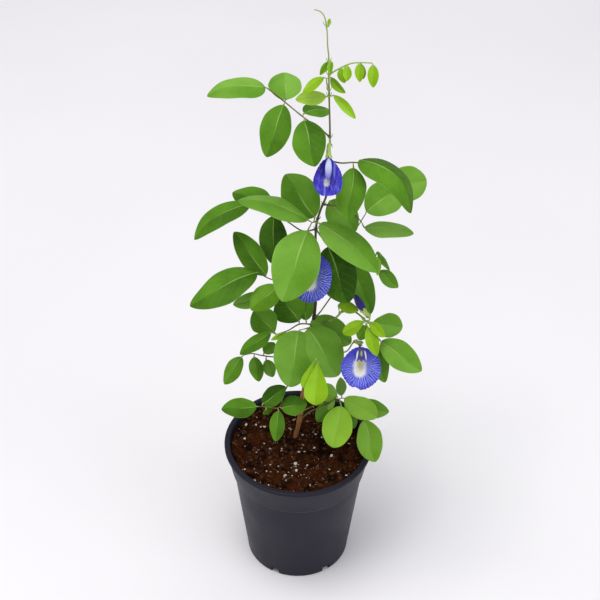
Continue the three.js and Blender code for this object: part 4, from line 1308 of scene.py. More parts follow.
LEAVES: tuple[Leaf, ...] = (
    Leaf("leaf_young_bud", rise=434, youth=1, rachis=((328.6, 26.5, 1.5),), leaflets=(
        Leaflet((328.9, 25.5, 1.8), (329.6, 18.5, 1.8), 2.4, fold=20),
    )),
    Leaf("leaf_tip", rise=411, youth=1, rachis=((330, 61, 3),), leaflets=(
        Leaflet((329, 62, 3), (320, 75, 4), 5, fold=35, youth=0.5, tone=DIM),
        Leaflet((331.5, 62, 3), (330.5, 75.5, 7), 4.5, fold=35, turn=20, youth=0.6),
    )),
    Leaf("leaf_young_arch", rise=402, youth=1, rachis=(
        (338, 69.2, 0), (346, 65.3, 0), (352, 63.2, 0), (360, 62.6, 0), (372, 63, 0),
    ), leaflets=(
        Leaflet((340.5, 68.5, 1), (344.5, 83, 1), 6),
        Leaflet((347.5, 66, 2), (346.5, 81, 7), 6, turn=-20),
        Leaflet((359, 64, 1), (359.8, 82, 3), 5.6),
        Leaflet((361, 64, -1), (363, 79, -6), 5.6, turn=30),
        Leaflet((373, 65, 0), (373.3, 87.5, 2), 6.8),
    )),
    Leaf("leaf_young_upper", rise=391, youth=1, rachis=((327, 84, 4.5), (326.5, 78.5, 9)), leaflets=(
        Leaflet((323.5, 77.5, 9), (302.5, 93, 9), 7, turn=25),
        Leaflet((331, 77.5, 10), (345.5, 93, 10), 6.5, turn=35, fold=30, youth=0.7),
    )),
    Leaf("leaf_young_lower", rise=387, youth=1, rachis=((330, 96.5, 3),), leaflets=(
        Leaflet((326, 96.5, 4), (295.5, 99.5, 7), 9, turn=165, tone=PALE),
        Leaflet((334, 95.5, 3), (355.5, 118.5, 3), 7, turn=-30, tone=LIT),
    )),
    Leaf("leaf_top_left", rise=358, rachis=(
        (322, 130, 3), (304.5, 118, 6), (285.4, 102.5, 8), (267, 88, 8),
    ), leaflets=(
        Leaflet((265, 87.5, 8), (207, 96, 11), 21.5, turn=44, bow=0.12, widest=0.38, tone=LIT),
        Leaflet((286, 99.5, 7), (284, 72.5, -16), 20.5, widest=0.5, fullness=0.52, tone=LIT),
        Leaflet((283.5, 105, 9), (266.5, 157, 11), 19, tone=DIM),
        Leaflet((304, 120.5, 8), (315, 166.5, 12), 21, tone=DIM),
        Leaflet((304.5, 113, 4), (328.5, 109, -14), 14, turn=-40, tone=DIM),
    )),
    Leaf("leaf_right_upper", rise=341, rachis=(
        (341, 163, -1), (356, 162.5, -2), (372, 168, -12), (383.5, 183, -19),
    ), leaflets=(
        Leaflet((360.5, 160, 0), (411, 213, 4), 26, turn=-44, bow=0.26, fold=-16, widest=0.4,
                tone=DIM),
        Leaflet((386, 187.5, -20), (426.5, 180, -24), 22.5, widest=0.56, fullness=0.5, tone=LIT),
        Leaflet((353.5, 168, -1), (348, 220, 2), 18.5),
    )),
    Leaf("leaf_right_back", rise=306, rachis=(
        (335, 206, -5), (354, 214, -8), (361.5, 222, -8),
    ), leaflets=(
        Leaflet((364.5, 227.5, -8), (413.7, 233.5, -6), 20, turn=-55, tone=PALE),
        Leaflet((329.5, 201, -8), (356, 231, -11), 20, tone=LIT),
    )),
    Leaf("leaf_right_hanging", rise=284, rachis=(
        (326, 241, -5), (342, 240, -9), (354, 231, -12), (365.5, 214, -16),
    ), leaflets=(
        Leaflet((366.5, 211.5, -17), (405, 183, -42), 23.5, tone=LIT),
        Leaflet((328, 247, -6), (348, 303, -12), 26, fullness=0.55, tone=DARK),
        Leaflet((344, 246, -14), (371, 314, -38), 18.5),
    )),
    Leaf("leaf_right_small", rise=212, rachis=(
        (318.5, 314, 4), (331, 297, 9), (345, 279, 12), (360, 265, 17), (374, 261, 21),
    ), leaflets=(
        Leaflet((377.5, 251.5, 21.5), (389.5, 270.5, 21.5), 8, turn=65, tone=PALE),
        Leaflet((377.5, 257, 23), (377.5, 275.5, 25), 5.5, fold=30, youth=0.8, tone=PALE),
        Leaflet((379.5, 271, 21.5), (398, 287.5, 23.5), 9.5, tone=LIT),
    )),
    Leaf("leaf_centre", rise=293, rachis=((315.5, 221.5, 5), (312, 222.5, 9)), leaflets=(
        Leaflet((308, 220, 10), (238, 200.5, 8), 25, turn=55, bow=0.1, tone=LIT),
        Leaflet((314.5, 217, 8), (285, 174.5, -4), 25),
        Leaflet((307.5, 231, 11), (282.5, 301.5, 14), 31.3, widest=0.45, fullness=0.62, tone=LIT),
        Leaflet((320, 223.5, 9), (377.5, 272, 12), 24.5, turn=-35, bow=0.09, tone=LIT),
    )),
    Leaf("leaf_far_left", rise=284, rachis=(
        (303, 231, -4), (288, 222, -7), (270, 212, -10), (254, 204, -12),
    ), leaflets=(
        Leaflet((250, 203.5, -12), (194.5, 239.5, -8), 17, turn=30, bow=0.19, tone=DIM),
        Leaflet((271, 203, -12), (232.5, 192.5, -24), 17, turn=25, tone=DIM),
        Leaflet((274, 216, -12), (273, 264, -34), 19, tone=DARK),
    )),
    Leaf("leaf_left", rise=232, rachis=(
        (300, 291, 4), (284, 284, 8), (268, 278, 12), (260, 274, 13),
    ), leaflets=(
        Leaflet((257, 272.5, 14), (190, 306, 15), 26, turn=34, tone=DIM),
        Leaflet((266, 275, 14), (234, 232, 8), 16.5, tone=DIM),
        Leaflet((277.5, 286, 11), (251, 310, 13), 16.5, youth=0.15),
        Leaflet((265, 297, 2), (233, 304.5, -6), 10.5, tone=PALE),
    )),
    Leaf("leaf_left_low", rise=206, rachis=((300, 324, -1), (288, 330.5, 3), (276, 334.5, 6)), leaflets=(
        Leaflet((270.5, 332, 6), (240, 354.5, 6), 10, tone=DIM),
        Leaflet((274.5, 332, 6), (253.5, 311, 1), 19, widest=0.52),
        Leaflet((299, 321, 2), (280, 296, -10), 23, widest=0.5, tone=DIM),
        Leaflet((306, 320, 3), (304, 291, -14), 14, tone=DIM),
        Leaflet((286, 333, 5), (271, 340, 6), 5, fold=40, youth=1, tone=PALE),
    )),
    Leaf("leaf_front", rise=199, rachis=((310, 328, 7), (304, 329, 15)), leaflets=(
        Leaflet((298.5, 331, 16), (290, 387, 6), 28.5, widest=0.42, fullness=0.54, tone=LIT),
        Leaflet((308, 329, 16), (338, 376, 6), 29, fullness=0.58, tone=LIT),
        Leaflet((312.5, 320, 8), (351, 343, 5), 19.5, fullness=0.55, tone=LIT),
    )),
    Leaf("leaf_young_front", rise=150, youth=1, rachis=(
        (306, 388, 18), (309, 386, 36), (314, 374, 48), (317, 361, 50),
    ), leaflets=(
        Leaflet((316, 358.5, 51), (303, 388, 54), 7.6, widest=0.74),
        Leaflet((317.5, 362, 51), (315.5, 405, 57), 16.1, widest=0.7, fullness=0.55),
    )),
    Leaf("leaf_left_small", rise=185, rachis=(
        (292, 356, -6), (275, 357, -8), (262, 355.5, -6), (252, 353.5, -4), (244, 355, -4),
    ), leaflets=(
        Leaflet((241.5, 357, -4), (224.5, 384.3, -4), 11.5),
        Leaflet((254, 357, -4), (259, 381.5, -4), 10),
        Leaflet((264, 353, -6), (275, 343, -12), 9, tone=LIT),
        Leaflet((266, 360, -6), (273, 377, -10), 9, tone=LIT),
    )),
    Leaf("leaf_low_left", rise=165, rachis=(
        (298, 372, 2), (291, 380, 4), (284.5, 392, 6), (279, 407.5, 8), (268, 407, 9), (259, 406.5, 9),
    ), leaflets=(
        Leaflet((256.5, 406.5, 9), (221.5, 409.3, 12), 14, tone=DIM),
        Leaflet((262.5, 404, 9), (285.5, 386.5, 12), 13, tone=DARK),
        Leaflet((278.6, 411, 9), (275.7, 441.5, 10), 10.5, tone=DIM),
        Leaflet((281.5, 408, 8), (307, 403, 4), 14, tone=DIM),
        Leaflet((266, 409, 8), (270, 413, -6), 8, youth=0.4, tone=DARK),
    )),
    Leaf("leaf_low_right", rise=116, rachis=(
        (308, 413, 1), (317, 408.5, 4), (333, 401, 9), (342, 398, 11),
    ), leaflets=(
        Leaflet((341, 406.5, 13), (333.5, 447.5, 15), 21.5, widest=0.5, fullness=0.5, youth=0.8,
                tone=PALE),
        Leaflet((344.5, 398.5, 12), (377, 417, 12), 16, widest=0.52, fullness=0.52, youth=0.4,
                tone=PALE),
        Leaflet((341.5, 395.5, 10), (340.5, 377.5, 2), 8, turn=160, tone=PALE),
        Leaflet((337, 396.5, 8), (317, 388, 0), 13, youth=0.3, tone=PALE),
        Leaflet((334, 401.5, 11), (328, 410, 13), 7, turn=65, youth=0.4, tone=PALE),
    )),
    Leaf("leaf_low_right_back", rise=124, rachis=(
        (318, 404, -3), (335, 401, -3), (350, 405, -1), (363, 416.5, 3),
    ), leaflets=(
        Leaflet((364.5, 420, 6), (375, 462, 10), 18.5, widest=0.5, fullness=0.6, youth=0.15, tone=LIT),
        Leaflet((354, 405.5, -2), (389, 412, -6), 14, tone=LIT),
        Leaflet((346, 405, -1), (354, 428.5, -2), 10, tone=PALE),
        Leaflet((331, 403.5, -3), (317, 421.5, -3), 12, tone=LIT),
    )),
    Leaf("leaf_back_middle", rise=240, rachis=(
        (312, 276, -12), (306, 264, -28), (302, 256, -42),
    ), leaflets=(
        Leaflet((301, 254, -44), (296, 240, -70), 18),
        Leaflet((304, 262, -30), (285, 256, -50), 16),
        Leaflet((308, 266, -26), (326, 261, -48), 16),
    )),
    Leaf("leaf_back_low", rise=140, rachis=((305, 382, -12), (306, 366, -30), (306, 357, -42)), leaflets=(
        Leaflet((306, 355, -44), (306, 340, -70), 18),
        Leaflet((304, 364, -32), (286, 359, -52), 16),
        Leaflet((308, 364, -32), (326, 359, -50), 16),
    )),
)
SHOOT_LEAVES: tuple[Leaf, ...] = (
    Leaf("leaf_shoot_low_young", way=0.52, youth=1, rachis=((338.5, 313, 1),), leaflets=(
        Leaflet((338.5, 304.5, 3), (358.5, 310.5, 10), 8),
    )),
    Leaf("leaf_shoot_young", way=0.88, youth=1, rachis=((364.5, 322, 3), (366.5, 324, 4)), leaflets=(
        Leaflet((364, 321.5, 3), (343, 333.5, 5), 8.6, widest=0.58, fullness=0.55),
        Leaflet((368, 327.5, 4), (377, 356, 6), 9),
        Leaflet((369.5, 322.5, 6), (385, 337, 8), 7),
        Leaflet((366, 325.5, 1), (359, 340, -3), 9, youth=0.1),
    )),
    Leaf("leaf_shoot_green", way=1, rachis=((371.5, 328, -4), (375, 334, -6), (380, 340, -7)), leaflets=(
        Leaflet((372.5, 323.5, -5), (402.5, 327, -10), 16.5, widest=0.56, fullness=0.52, tone=LIT),
        Leaflet((381, 341.5, -6), (421.5, 371, -4), 18.5, tone=LIT),
        Leaflet((375, 344, -12), (385, 382.5, -24), 12.5),
    )),
)


# Stems

PALE_GREEN = Traits(0.3, 0.5)
MAIN_STEM_READINGS: tuple[Reading, ...] = (
    (295, 439, 8), (298.5, 424, 8), (300.5, 412, 8), (303, 395, 8), (306, 375, 8), (309, 352, 8),
    (312, 330, 8), (315, 308, 9), (316.5, 290, 11), (316, 268, 12), (315.5, 245, 12),
    (316.5, 224, 11), (321, 209, 9), (326.5, 195, 8), (329, 170, 7), (330, 136, 7), (329.5, 112, 8),
    (329, 92, 8), (328.8, 70, 8), (328.7, 56, 8), (327.6, 45, 8), (327.2, 33, 9), (325.6, 21, 10),
    (323.6, 15, 10), (319.3, 11, 9), (314.4, 9.6, 8),
)
SHOOT_RISE = 206.0
SHOOT_READINGS: tuple[Reading, ...] = (
    (325, 322, 5), (336, 317.5, 11), (342.5, 311.5, 15), (351, 310, 19), (359.5, 315, 23),
    (366, 321, 26), (369, 322.5, 27),
)


@dataclass(frozen=True)
class StemForm:
    """Sizes of the stems in millimetres; each radius goes with a share of the way."""

    radii: tuple[float, ...] = (1.65, 1.6, 0.95, 0.76, 0.56, 0.32)
    radius_shares: tuple[float, ...] = (0.0, 0.16, 0.42, 0.55, 0.8, 1.0)
    shoot_radius: float = 0.7
    shoot_narrowing: float = 0.2
    depth_in_soil: float = 26.0
    swelling: float = 0.22
    swelling_length: float = 2.4
    sides: int = 14
    ring_step: float = 1.2
    stipule_length: float = 2.6
    stipule_wide: float = 0.8
    stipule_off_axis: float = 0.6
    stipule_spread: float = 0.9
    youth: float = 0.45
    furrows: tuple[Triple, ...] = ((0.05, 3.0, 1 / 9), (0.03, 5.0, -1 / 4))


@dataclass
class Stems:
    """The climbing main stem and the side shoot."""

    form: StemForm
    palette: Palette

    def __post_init__(self) -> None:
        """Works out both routes from their readings."""
        above = VIEW.behind_axis(MAIN_STEM_READINGS)
        self.main = Route(above)
        self.rooted = Route(np.vstack([above[:1] - [0, 0, self.form.depth_in_soil], above]))
        root = self.at_height(SHOOT_RISE)
        self.shoot = Route(np.vstack([root, VIEW.nearer(root, SHOOT_READINGS)]))

    def at_height(self, height: float) -> Array:
        """The main stem's point at a height above the ground."""
        return self.main.points[np.argmin(np.abs(self.main.points[:, 2] - height))]

    def _stem(self, route: Route, radius: Array, knots: Sequence[Array]) -> Patch:
        """A stem that swells near its knots by a bell curve of the distance, with shallow furrows.

        Args:
            route: The stem's middle line.
            radius: Radius at even steps of the way, without knots.
            knots: Points where leaves grow.

        Returns:
            The stem.
        """
        walked = np.linspace(0, 1, len(radius))[:, None] * route.length
        gaps = walked - route.walked[[route.nearest(knot) for knot in knots]]
        swollen = self.form.swelling * np.exp(-((gaps / self.form.swelling_length) ** 2)).max(1)
        furrows = ripples(np.linspace(0, FULL_TURN, self.form.sides + 1), walked, self.form.furrows)
        traits = Traits(youth=self.form.youth)
        return Patch.tube(route, radius * (1 + swollen), self.form.sides, traits, furrows)

    def _stipules(self, route: Route, knots: Sequence[Array]) -> list[Patch]:
        """Two small pointed blades that hug the stem at each knot.

        Args:
            route: The stem's middle line.
            knots: Points where leaves grow.

        Returns:
            The blades.
        """
        form, blades = self.form, []
        for knot in knots:
            heading = route.tangents(np.array([route.walked[route.nearest(knot)] / route.length]))[0]
            aside = unit(np.cross(heading, [0.0, 1.0, 0.15]))
            for side in (-aside, aside):
                foot = knot + side * form.stipule_off_axis
                tip = foot + heading * form.stipule_length + side * form.stipule_spread
                shape = Blade(form.stipule_wide, fold=12, widest=0.35, relief=TOOTH_RELIEF, outward=side)
                blades.append(shape.body(foot, tip, PALE_GREEN))
        return blades

    def make(self, rises: Sequence[float], ways: Sequence[float]) -> None:
        """Makes both stems, thickened where leaves and the shoot grow.

        Args:
            rises: Heights of the leaves' roots on the main stem.
            ways: Places of the leaves' roots on the shoot, as shares of its length.
        """
        form, palette = self.form, self.palette
        knots = [self.at_height(rise) for rise in rises]
        share = np.linspace(0, 1, int(self.rooted.length / form.ring_step))
        radius = np.interp(share, form.radius_shares, form.radii)
        stem = Piece("main_stem_grown", [palette.bark, palette.leaf])
        stem.add(self._stem(self.rooted, radius, knots))
        for blade in self._stipules(self.rooted, knots):
            stem.add(blade, 1)
        stem.make(Slot.STEM, ["main_stem"])
        buds = [self.shoot.at(way)[0] for way in ways]
        share = np.linspace(0, 1, int(self.shoot.length / form.ring_step))
        shoot = Piece("side_shoot_grown", [palette.stalk, palette.leaf])
        shoot.add(self._stem(self.shoot, form.shoot_radius * (1 - form.shoot_narrowing * share), buds))
        for blade in self._stipules(self.shoot, buds):
            shoot.add(blade, 1)
        shoot.make(Slot.SHOOT, ["side_shoot"])


# Flowers and the bud

YOUNG_STALK = Traits(youth=0.9)
TOOTH_GREEN = Traits(0.2, 1.0)
BRACT_GREEN = Traits(-0.2, 0.4)
MIDDLE_BAND = Traits(0.5, 1.0)


@dataclass(frozen=True)
class Banner:
    """Banner petal: readings of its foot and tip, its width in millimetres, its cup and outline.

    The throat is the share of its length at which the rays meet, the notch the share that is cut out
    of its free end, and shade 1 is for a folded flower.
    """

    foot: Reading
    tip: Reading
    wide: float
    fold: float
    widest: float
    fullness: float
    throat: float
    shade: float
    notch: float


@dataclass(frozen=True)
class Wings:
    """A flower's wing petals: spread and width in millimetres, turn in degrees.

    The length is a share of the banner's. The edge says how far from their middle they are pale.
    """

    spread: float
    length: float
    wide: float
    turn: float
    edge: float


@dataclass(frozen=True)
class Bloom:
    """One flower: where it grows, its wings, stalk, calyx and banner."""

    name: str
    rise: float
    wings: Wings
    stalk: tuple[Reading, ...]
    calyx: tuple[Reading, ...]
    banner: Banner


BLOOMS: tuple[Bloom, ...] = (
    Bloom(
        "flower_top", 357.5, Wings(0.95, 0.54, 3.3, 8, 0), ((330, 139.5, 3.5),),
        ((329.5, 143, 4.5), (328.6, 150, 5.5), (328.8, 156, 6)),
        Banner((328.8, 158, 6.5), (327.3, 196, 4), 20.8, 40, 0.62, 0.38, 0.62, 1.0, 0.0),
    ),
    Bloom(
        "flower_middle", 262, Wings(3.0, 0.32, 3.4, 18, 0.45), ((314.5, 253, 3), (311.5, 248.5, 7)),
        ((310.3, 247.5, 9), (310.6, 251, 14)),
        Banner((311, 253.5, 16.5), (311, 302.5, 15.5), 27, 8, 0.45, 0.42, 0.52, 0.0, 0.0),
    ),
    Bloom(
        "flower_right", 184, Wings(3.0, 0.33, 3.4, 18, 0.45), ((328, 353, 0), (345, 352, 4), (352, 344, 16)),
        ((354, 341, 23), (359.8, 343.2, 29.6)),
        Banner((361.3, 347, 32.5), (360.8, 390, 31), 26.6, 6, 0.49, 0.5, 0.46, 0.0, 0.09),
    ),
)


@dataclass(frozen=True)
class FlowerForm:
    """Sizes that the flowers share, in millimetres; numbers of things, shares and powers are plain.

    The claw's radii are its first and its last, with its number of rings.
    """

    notch_width: float = 0.14
    notch_aside: float = 0.23
    curl: float = 1.4
    border_steps: int = 200
    least_width: float = 1.1
    rings: int = 24
    ring_crowding: float = 0.8
    spokes: int = 132
    pleats: int = 33
    pleat_height: float = 0.2
    pleat_growth: float = 1.5
    scallops: int = 5
    scallop: float = 0.012
    margin_wave: float = 0.45
    margin_growth: float = 3.0
    petal: float = 0.4
    thinning: float = 0.45
    map_span: float = 1.5
    stalk_radius: float = 0.5
    mouth_radius: float = 1.6
    flare: float = 0.35
    rod_sides: int = 10
    tube_rings: int = 14
    tube_sides: int = 20
    rib: float = 0.05
    claw_radii: tuple[float, float, int] = (0.8, 0.48, 6)
    claw_length: float = 2.0
    claw_sunk: float = 0.3
    tooth_length: float = 2.2
    teeth: int = 5
    wing_foot_share: float = 0.45
    wing_foot_drop: float = 0.6
    wing_lift: float = 2.6
    keel_lift: float = 4.8
    keel_wide: float = 4.0
    tooth_wide: float = 1.9
    tooth_lean: float = 0.12
    tooth_sunk: tuple[float, float] = (0.2, 0.5)
    bract_length: float = 3.0
    bract_spread: float = 0.9
    bract_wide: float = 2.2


@dataclass
class Flower:
    """A butterfly pea flower that hangs upside down: calyx, banner, wings and keel."""

    spec: Bloom
    root: Array
    form: FlowerForm
    palette: Palette

    def __post_init__(self) -> None:
        """Places the calyx's cup and the banner, seen from the root on the stem."""
        self.cup = VIEW.nearer(self.root, self.spec.calyx)
        banner = self.spec.banner
        self.foot, self.tip = VIEW.nearer(self.root, [banner.foot, banner.tip])
        self.frame = BladeFrame.of(self.foot, self.tip, 0)
        self.length = float(np.linalg.norm(self.tip - self.foot))

    def _banner(self) -> Patch:
        """The banner: a round cupped sheet on rings round its throat, pleated outward.

        Its border runs down both sides of a filled sine outline, notched at the free end. Each spoke
        reaches from the throat to that border. The height follows a circular cup across the petal,
        with pleats as waves of the angle that grow outward and a slower wave at the margin.

        Returns:
            The petal.
        """
        form, banner, length = self.form, self.spec.banner, self.length
        way = crowd(np.linspace(0, 1, form.border_steps))
        width = banner.wide * outline_width(way, banner.widest, banner.fullness)
        half = np.maximum(form.least_width, width) / 2
        bend = math.radians(banner.fold) * form.curl
        side = np.sin(bend) / bend * half
        throat = banner.throat * length
        across = np.concatenate([side, -side[::-1]])
        down = np.concatenate([way, way[::-1]]) * length - throat
        border_angle = np.unwrap(np.arctan2(across, down))
        order = np.argsort(border_angle)
        angle = np.linspace(0, FULL_TURN, form.spokes + 1)
        reach = np.interp(angle, border_angle[order], np.hypot(across, down)[order], period=FULL_TURN)
        turned = (angle - form.notch_aside + math.pi) % FULL_TURN - math.pi
        notched = 1 - banner.notch * np.exp(-((turned / form.notch_width) ** 2))
        border = np.cos(form.pleats * angle) + np.sin(form.scallops * angle)
        reach = reach * notched * (1 + form.scallop * border)
        share = (np.linspace(0, 1, form.rings + 1) ** form.ring_crowding)[:, None]
        c, a = share * reach * np.sin(angle), throat + share * reach * np.cos(angle)
        half_here = np.interp(np.clip(a / length, 0, 1), way, half)
        rise = (1 - np.cos(np.clip(c / half_here, -1, 1) * bend)) / bend * half_here
        pleat = form.pleat_height * share**form.pleat_growth * np.cos(form.pleats * angle)
        wave = form.margin_wave * share**form.margin_growth * np.sin(form.scallops * angle + self.spec.rise)
        lift = rise + pleat + wave
        frame = self.frame
        points = self.foot + a[..., None] * frame.along + c[..., None] * frame.across
        points = points + lift[..., None] * frame.out
        places = 0.5 + np.stack([c, a - throat], -1) / (form.map_span * length)
        thickness = form.petal * (1 - form.thinning * share**2) + 0 * angle
        return Patch.sheet(points, thickness, places, Traits(banner.shade), ring=True)

    def _wings(self) -> list[Patch]:
        """Two wing petals beside the keel, each with its pale edge on the outer side.

        Returns:
            The two wings.
        """
        form, frame, size, wings = self.form, self.frame, self.spec.wings, []
        for side in (-1.0, 1.0):
            aside = side * size.spread * frame.across
            foot = self.foot + form.wing_foot_share * aside + form.wing_foot_drop * frame.along
            tip = self.foot + self.length * size.length * frame.along
            tip = tip + aside + form.wing_lift * frame.out
            shape = Blade(size.wide, -side * size.turn, 0.2, 0, widest=0.5, relief=SMALL_RELIEF)
            outer = 0.5 + size.edge * side
            wings.append(shape.body(foot, tip, Traits(outer, 1.0)))
        return wings

    def make(self) -> None:
        """Makes the petals piece and the calyx piece."""
        form, frame, palette, spec = self.form, self.frame, self.palette, self.spec
        folded = spec.banner.shade > 0
        small = [palette.folded_wing] * 2 if folded else [palette.wing, palette.keel]
        petals = Piece(f"{spec.name}_petals_grown", [palette.banner, *small])
        petals.add(self._banner(), 0)
        for wing in self._wings():
            petals.add(wing, 1)
        keel_tip = self.foot + self.length * spec.wings.length * frame.along + form.keel_lift * frame.out
        keel = Blade(form.keel_wide, bow=0.2, fold=-30, relief=SMALL_RELIEF)
        petals.add(keel.body(self.foot, keel_tip, MIDDLE_BAND), 2)
        mouth = self.cup[-1] + form.claw_sunk * (self.cup[-2] - self.cup[-1])
        claw = Route(np.vstack([mouth, self.foot + form.claw_length * frame.along]))
        petals.add(Patch.tube(claw, np.linspace(*form.claw_radii), form.rod_sides), 1)
        petals.make(Slot.PETAL, [f"{spec.name}_petals"])
        stalk = np.vstack([self.root, VIEW.nearer(self.root, spec.stalk)])
        Calyx(spec.name, stalk, self.cup, form.mouth_radius).make(form, palette)


@dataclass(frozen=True)
class Calyx:
    """A flower's stalk and calyx; points and lengths in millimetres."""

    name: str
    stalk: Array
    cup: Array
    mouth_radius: float

    def make(self, form: FlowerForm, palette: Palette) -> None:
        """Makes the piece: a rod, a flaring tube, pointed teeth along the petals and two small bracts.

        Args:
            form: Sizes that the flowers share.
            palette: The finishes.
        """
        piece = Piece(f"{self.name}_calyx_grown", [palette.calyx, palette.stalk])
        thin = Route(np.vstack([self.stalk, self.cup[:1]]))
        radius = np.full(max(FEWEST_RINGS, int(thin.length)), form.stalk_radius)
        piece.add(Patch.tube(thin, radius, form.rod_sides, YOUNG_STALK), 1)
        tube, share = Route(self.cup), np.linspace(0, 1, form.tube_rings)
        flare = form.stalk_radius + (self.mouth_radius - form.stalk_radius) * share**form.flare
        angle = np.linspace(0, FULL_TURN, form.tube_sides + 1)
        ribs = form.rib * share[:, None] * np.cos(form.teeth * angle)
        piece.add(Patch.tube(tube, flare, form.tube_sides, PALE_GREEN, ribs))
        heading = tube.tangents(np.array([1.0]))[0]
        aside = unit(np.cross(heading, [0.0, 0.05, 1.0]))
        upright = np.cross(aside, heading)
        for number in range(form.teeth):
            turn = FULL_TURN * (number + 0.5) / form.teeth
            spoke = math.cos(turn) * aside + math.sin(turn) * upright
            inward, back = form.tooth_sunk
            foot = self.cup[-1] + spoke * (self.mouth_radius - inward) - heading * back
            tip = foot + form.tooth_length * (heading + spoke * form.tooth_lean)
            tooth = Blade(form.tooth_wide, bow=0.08, fold=10, widest=0.3, relief=TOOTH_RELIEF, outward=spoke)
            piece.add(tooth.body(foot, tip, TOOTH_GREEN))
        for side in (-aside, aside):
            foot = self.cup[0] + side * form.stalk_radius
            tip = foot + heading * form.bract_length + side * form.bract_spread
            bract = Blade(form.bract_wide, bow=0.1, fold=15, widest=0.5, relief=TOOTH_RELIEF, outward=side)
            piece.add(bract.body(foot, tip, BRACT_GREEN))
        piece.make(Slot.CALYX, [f"{self.name}_calyx"])


@dataclass(frozen=True)
class Bud:
    """The closed bud on the side shoot: readings, and radii in millimetres.

    Spans are the first and the last share of the spindle that is made, and its number of rings.
    """

    way: float = 0.95
    stalk: tuple[Reading, ...] = ((369.3, 320, -1),)
    calyx: tuple[Reading, ...] = ((369.8, 317.5, -1), (366, 313.5, -1), (363.5, 310.5, -1))
    petals: tuple[Reading, ...] = ((362.8, 309, -1), (359, 302, -0.5), (355, 294.5, 0))
    radius: float = 2.7
    calyx_radius: float = 1.9
    bluntness: float = 0.7
    spans: tuple[float, float, int] = (0.18, 0.98, 30)
    sides: int = 24
    folds: tuple[Triple, ...] = ((0.09, 3.0, 5.0), (0.04, 7.0, 9.0))

    def make(self, root: Array, form: FlowerForm, palette: Palette) -> None:
        """Makes the petals as a rolled spindle with spiral folds, and the calyx.

        Args:
            root: The bud's root on the shoot, in millimetres.
            form: Sizes that the flowers share.
            palette: The finishes.
        """
        cup = VIEW.nearer(root, self.calyx)
        route = Route(np.vstack([cup[-1:], VIEW.nearer(root, self.petals)]))
        share = np.linspace(*self.spans)
        radius = self.radius * np.sin(math.pi * share) ** self.bluntness
        folds = ripples(np.linspace(0, FULL_TURN, self.sides + 1), share[:, None], self.folds)
        piece = Piece("bud_petals_grown", [palette.bud])
        piece.add(Patch.tube(route, radius, self.sides, MIDDLE_BAND, folds))
        piece.make(Slot.BUD, ["bud_petals"])
        stalk = np.vstack([root, VIEW.nearer(root, self.stalk)])
        Calyx("bud", stalk, cup, self.calyx_radius).make(form, palette)


# Pot and soil


@dataclass(frozen=True)
class PotForm:
    """Sizes of the pot in millimetres; the most rounding is a share of an outline's side."""

    height: float = 103.5
    rim_radius: float = 52.5
    lip_width: float = 3.9
    lip_height: float = 3.0
    lip_overhang: float = 1.2
    lip_rounding: float = 0.8
    roundings: tuple[float, ...] = (0.4, 0.8, 0.5, 0.5, 1.4, 1.2, 2.0)
    band_height: float = 24.4
    band_foot_radius: float = 47.4
    band_step: float = 1.3
    base_radius: float = 37.0
    base_rounding: float = 1.2
    inner_rounding: float = 0.2
    wall: float = 2.0
    floor: float = 2.4
    drain_count: int = 6
    drain_width: float = 6.0
    drain_height: float = 4.5
    drain_depth: float = 7.0
    drain_first: float = math.radians(-116.0)
    columns_between: int = 24
    columns_in_drain: int = 3
    corner_steps: int = 5
    most_rounding: float = 0.45

    def inner_radius(self, height: float) -> float:
        """Inner radius at a height above the ground; the wall leans out more above the band's foot.

        Args:
            height: The height.

        Returns:
            The radius there.
        """
        heights = (self.floor, self.height - self.band_height, self.height - self.lip_rounding)
        waist = self.band_foot_radius - self.band_step - self.wall
        radii = (self.base_radius - self.wall, waist, self.rim_radius - self.lip_width)
        return float(np.interp(height, heights, radii))

    def outer_radius(self, height: float) -> float:
        """Outer radius of the tapered wall below the band."""
        way = (height - self.base_rounding) / (self.height - self.band_height - self.base_rounding)
        return self.base_radius + (self.band_foot_radius - self.band_step - self.base_radius) * way


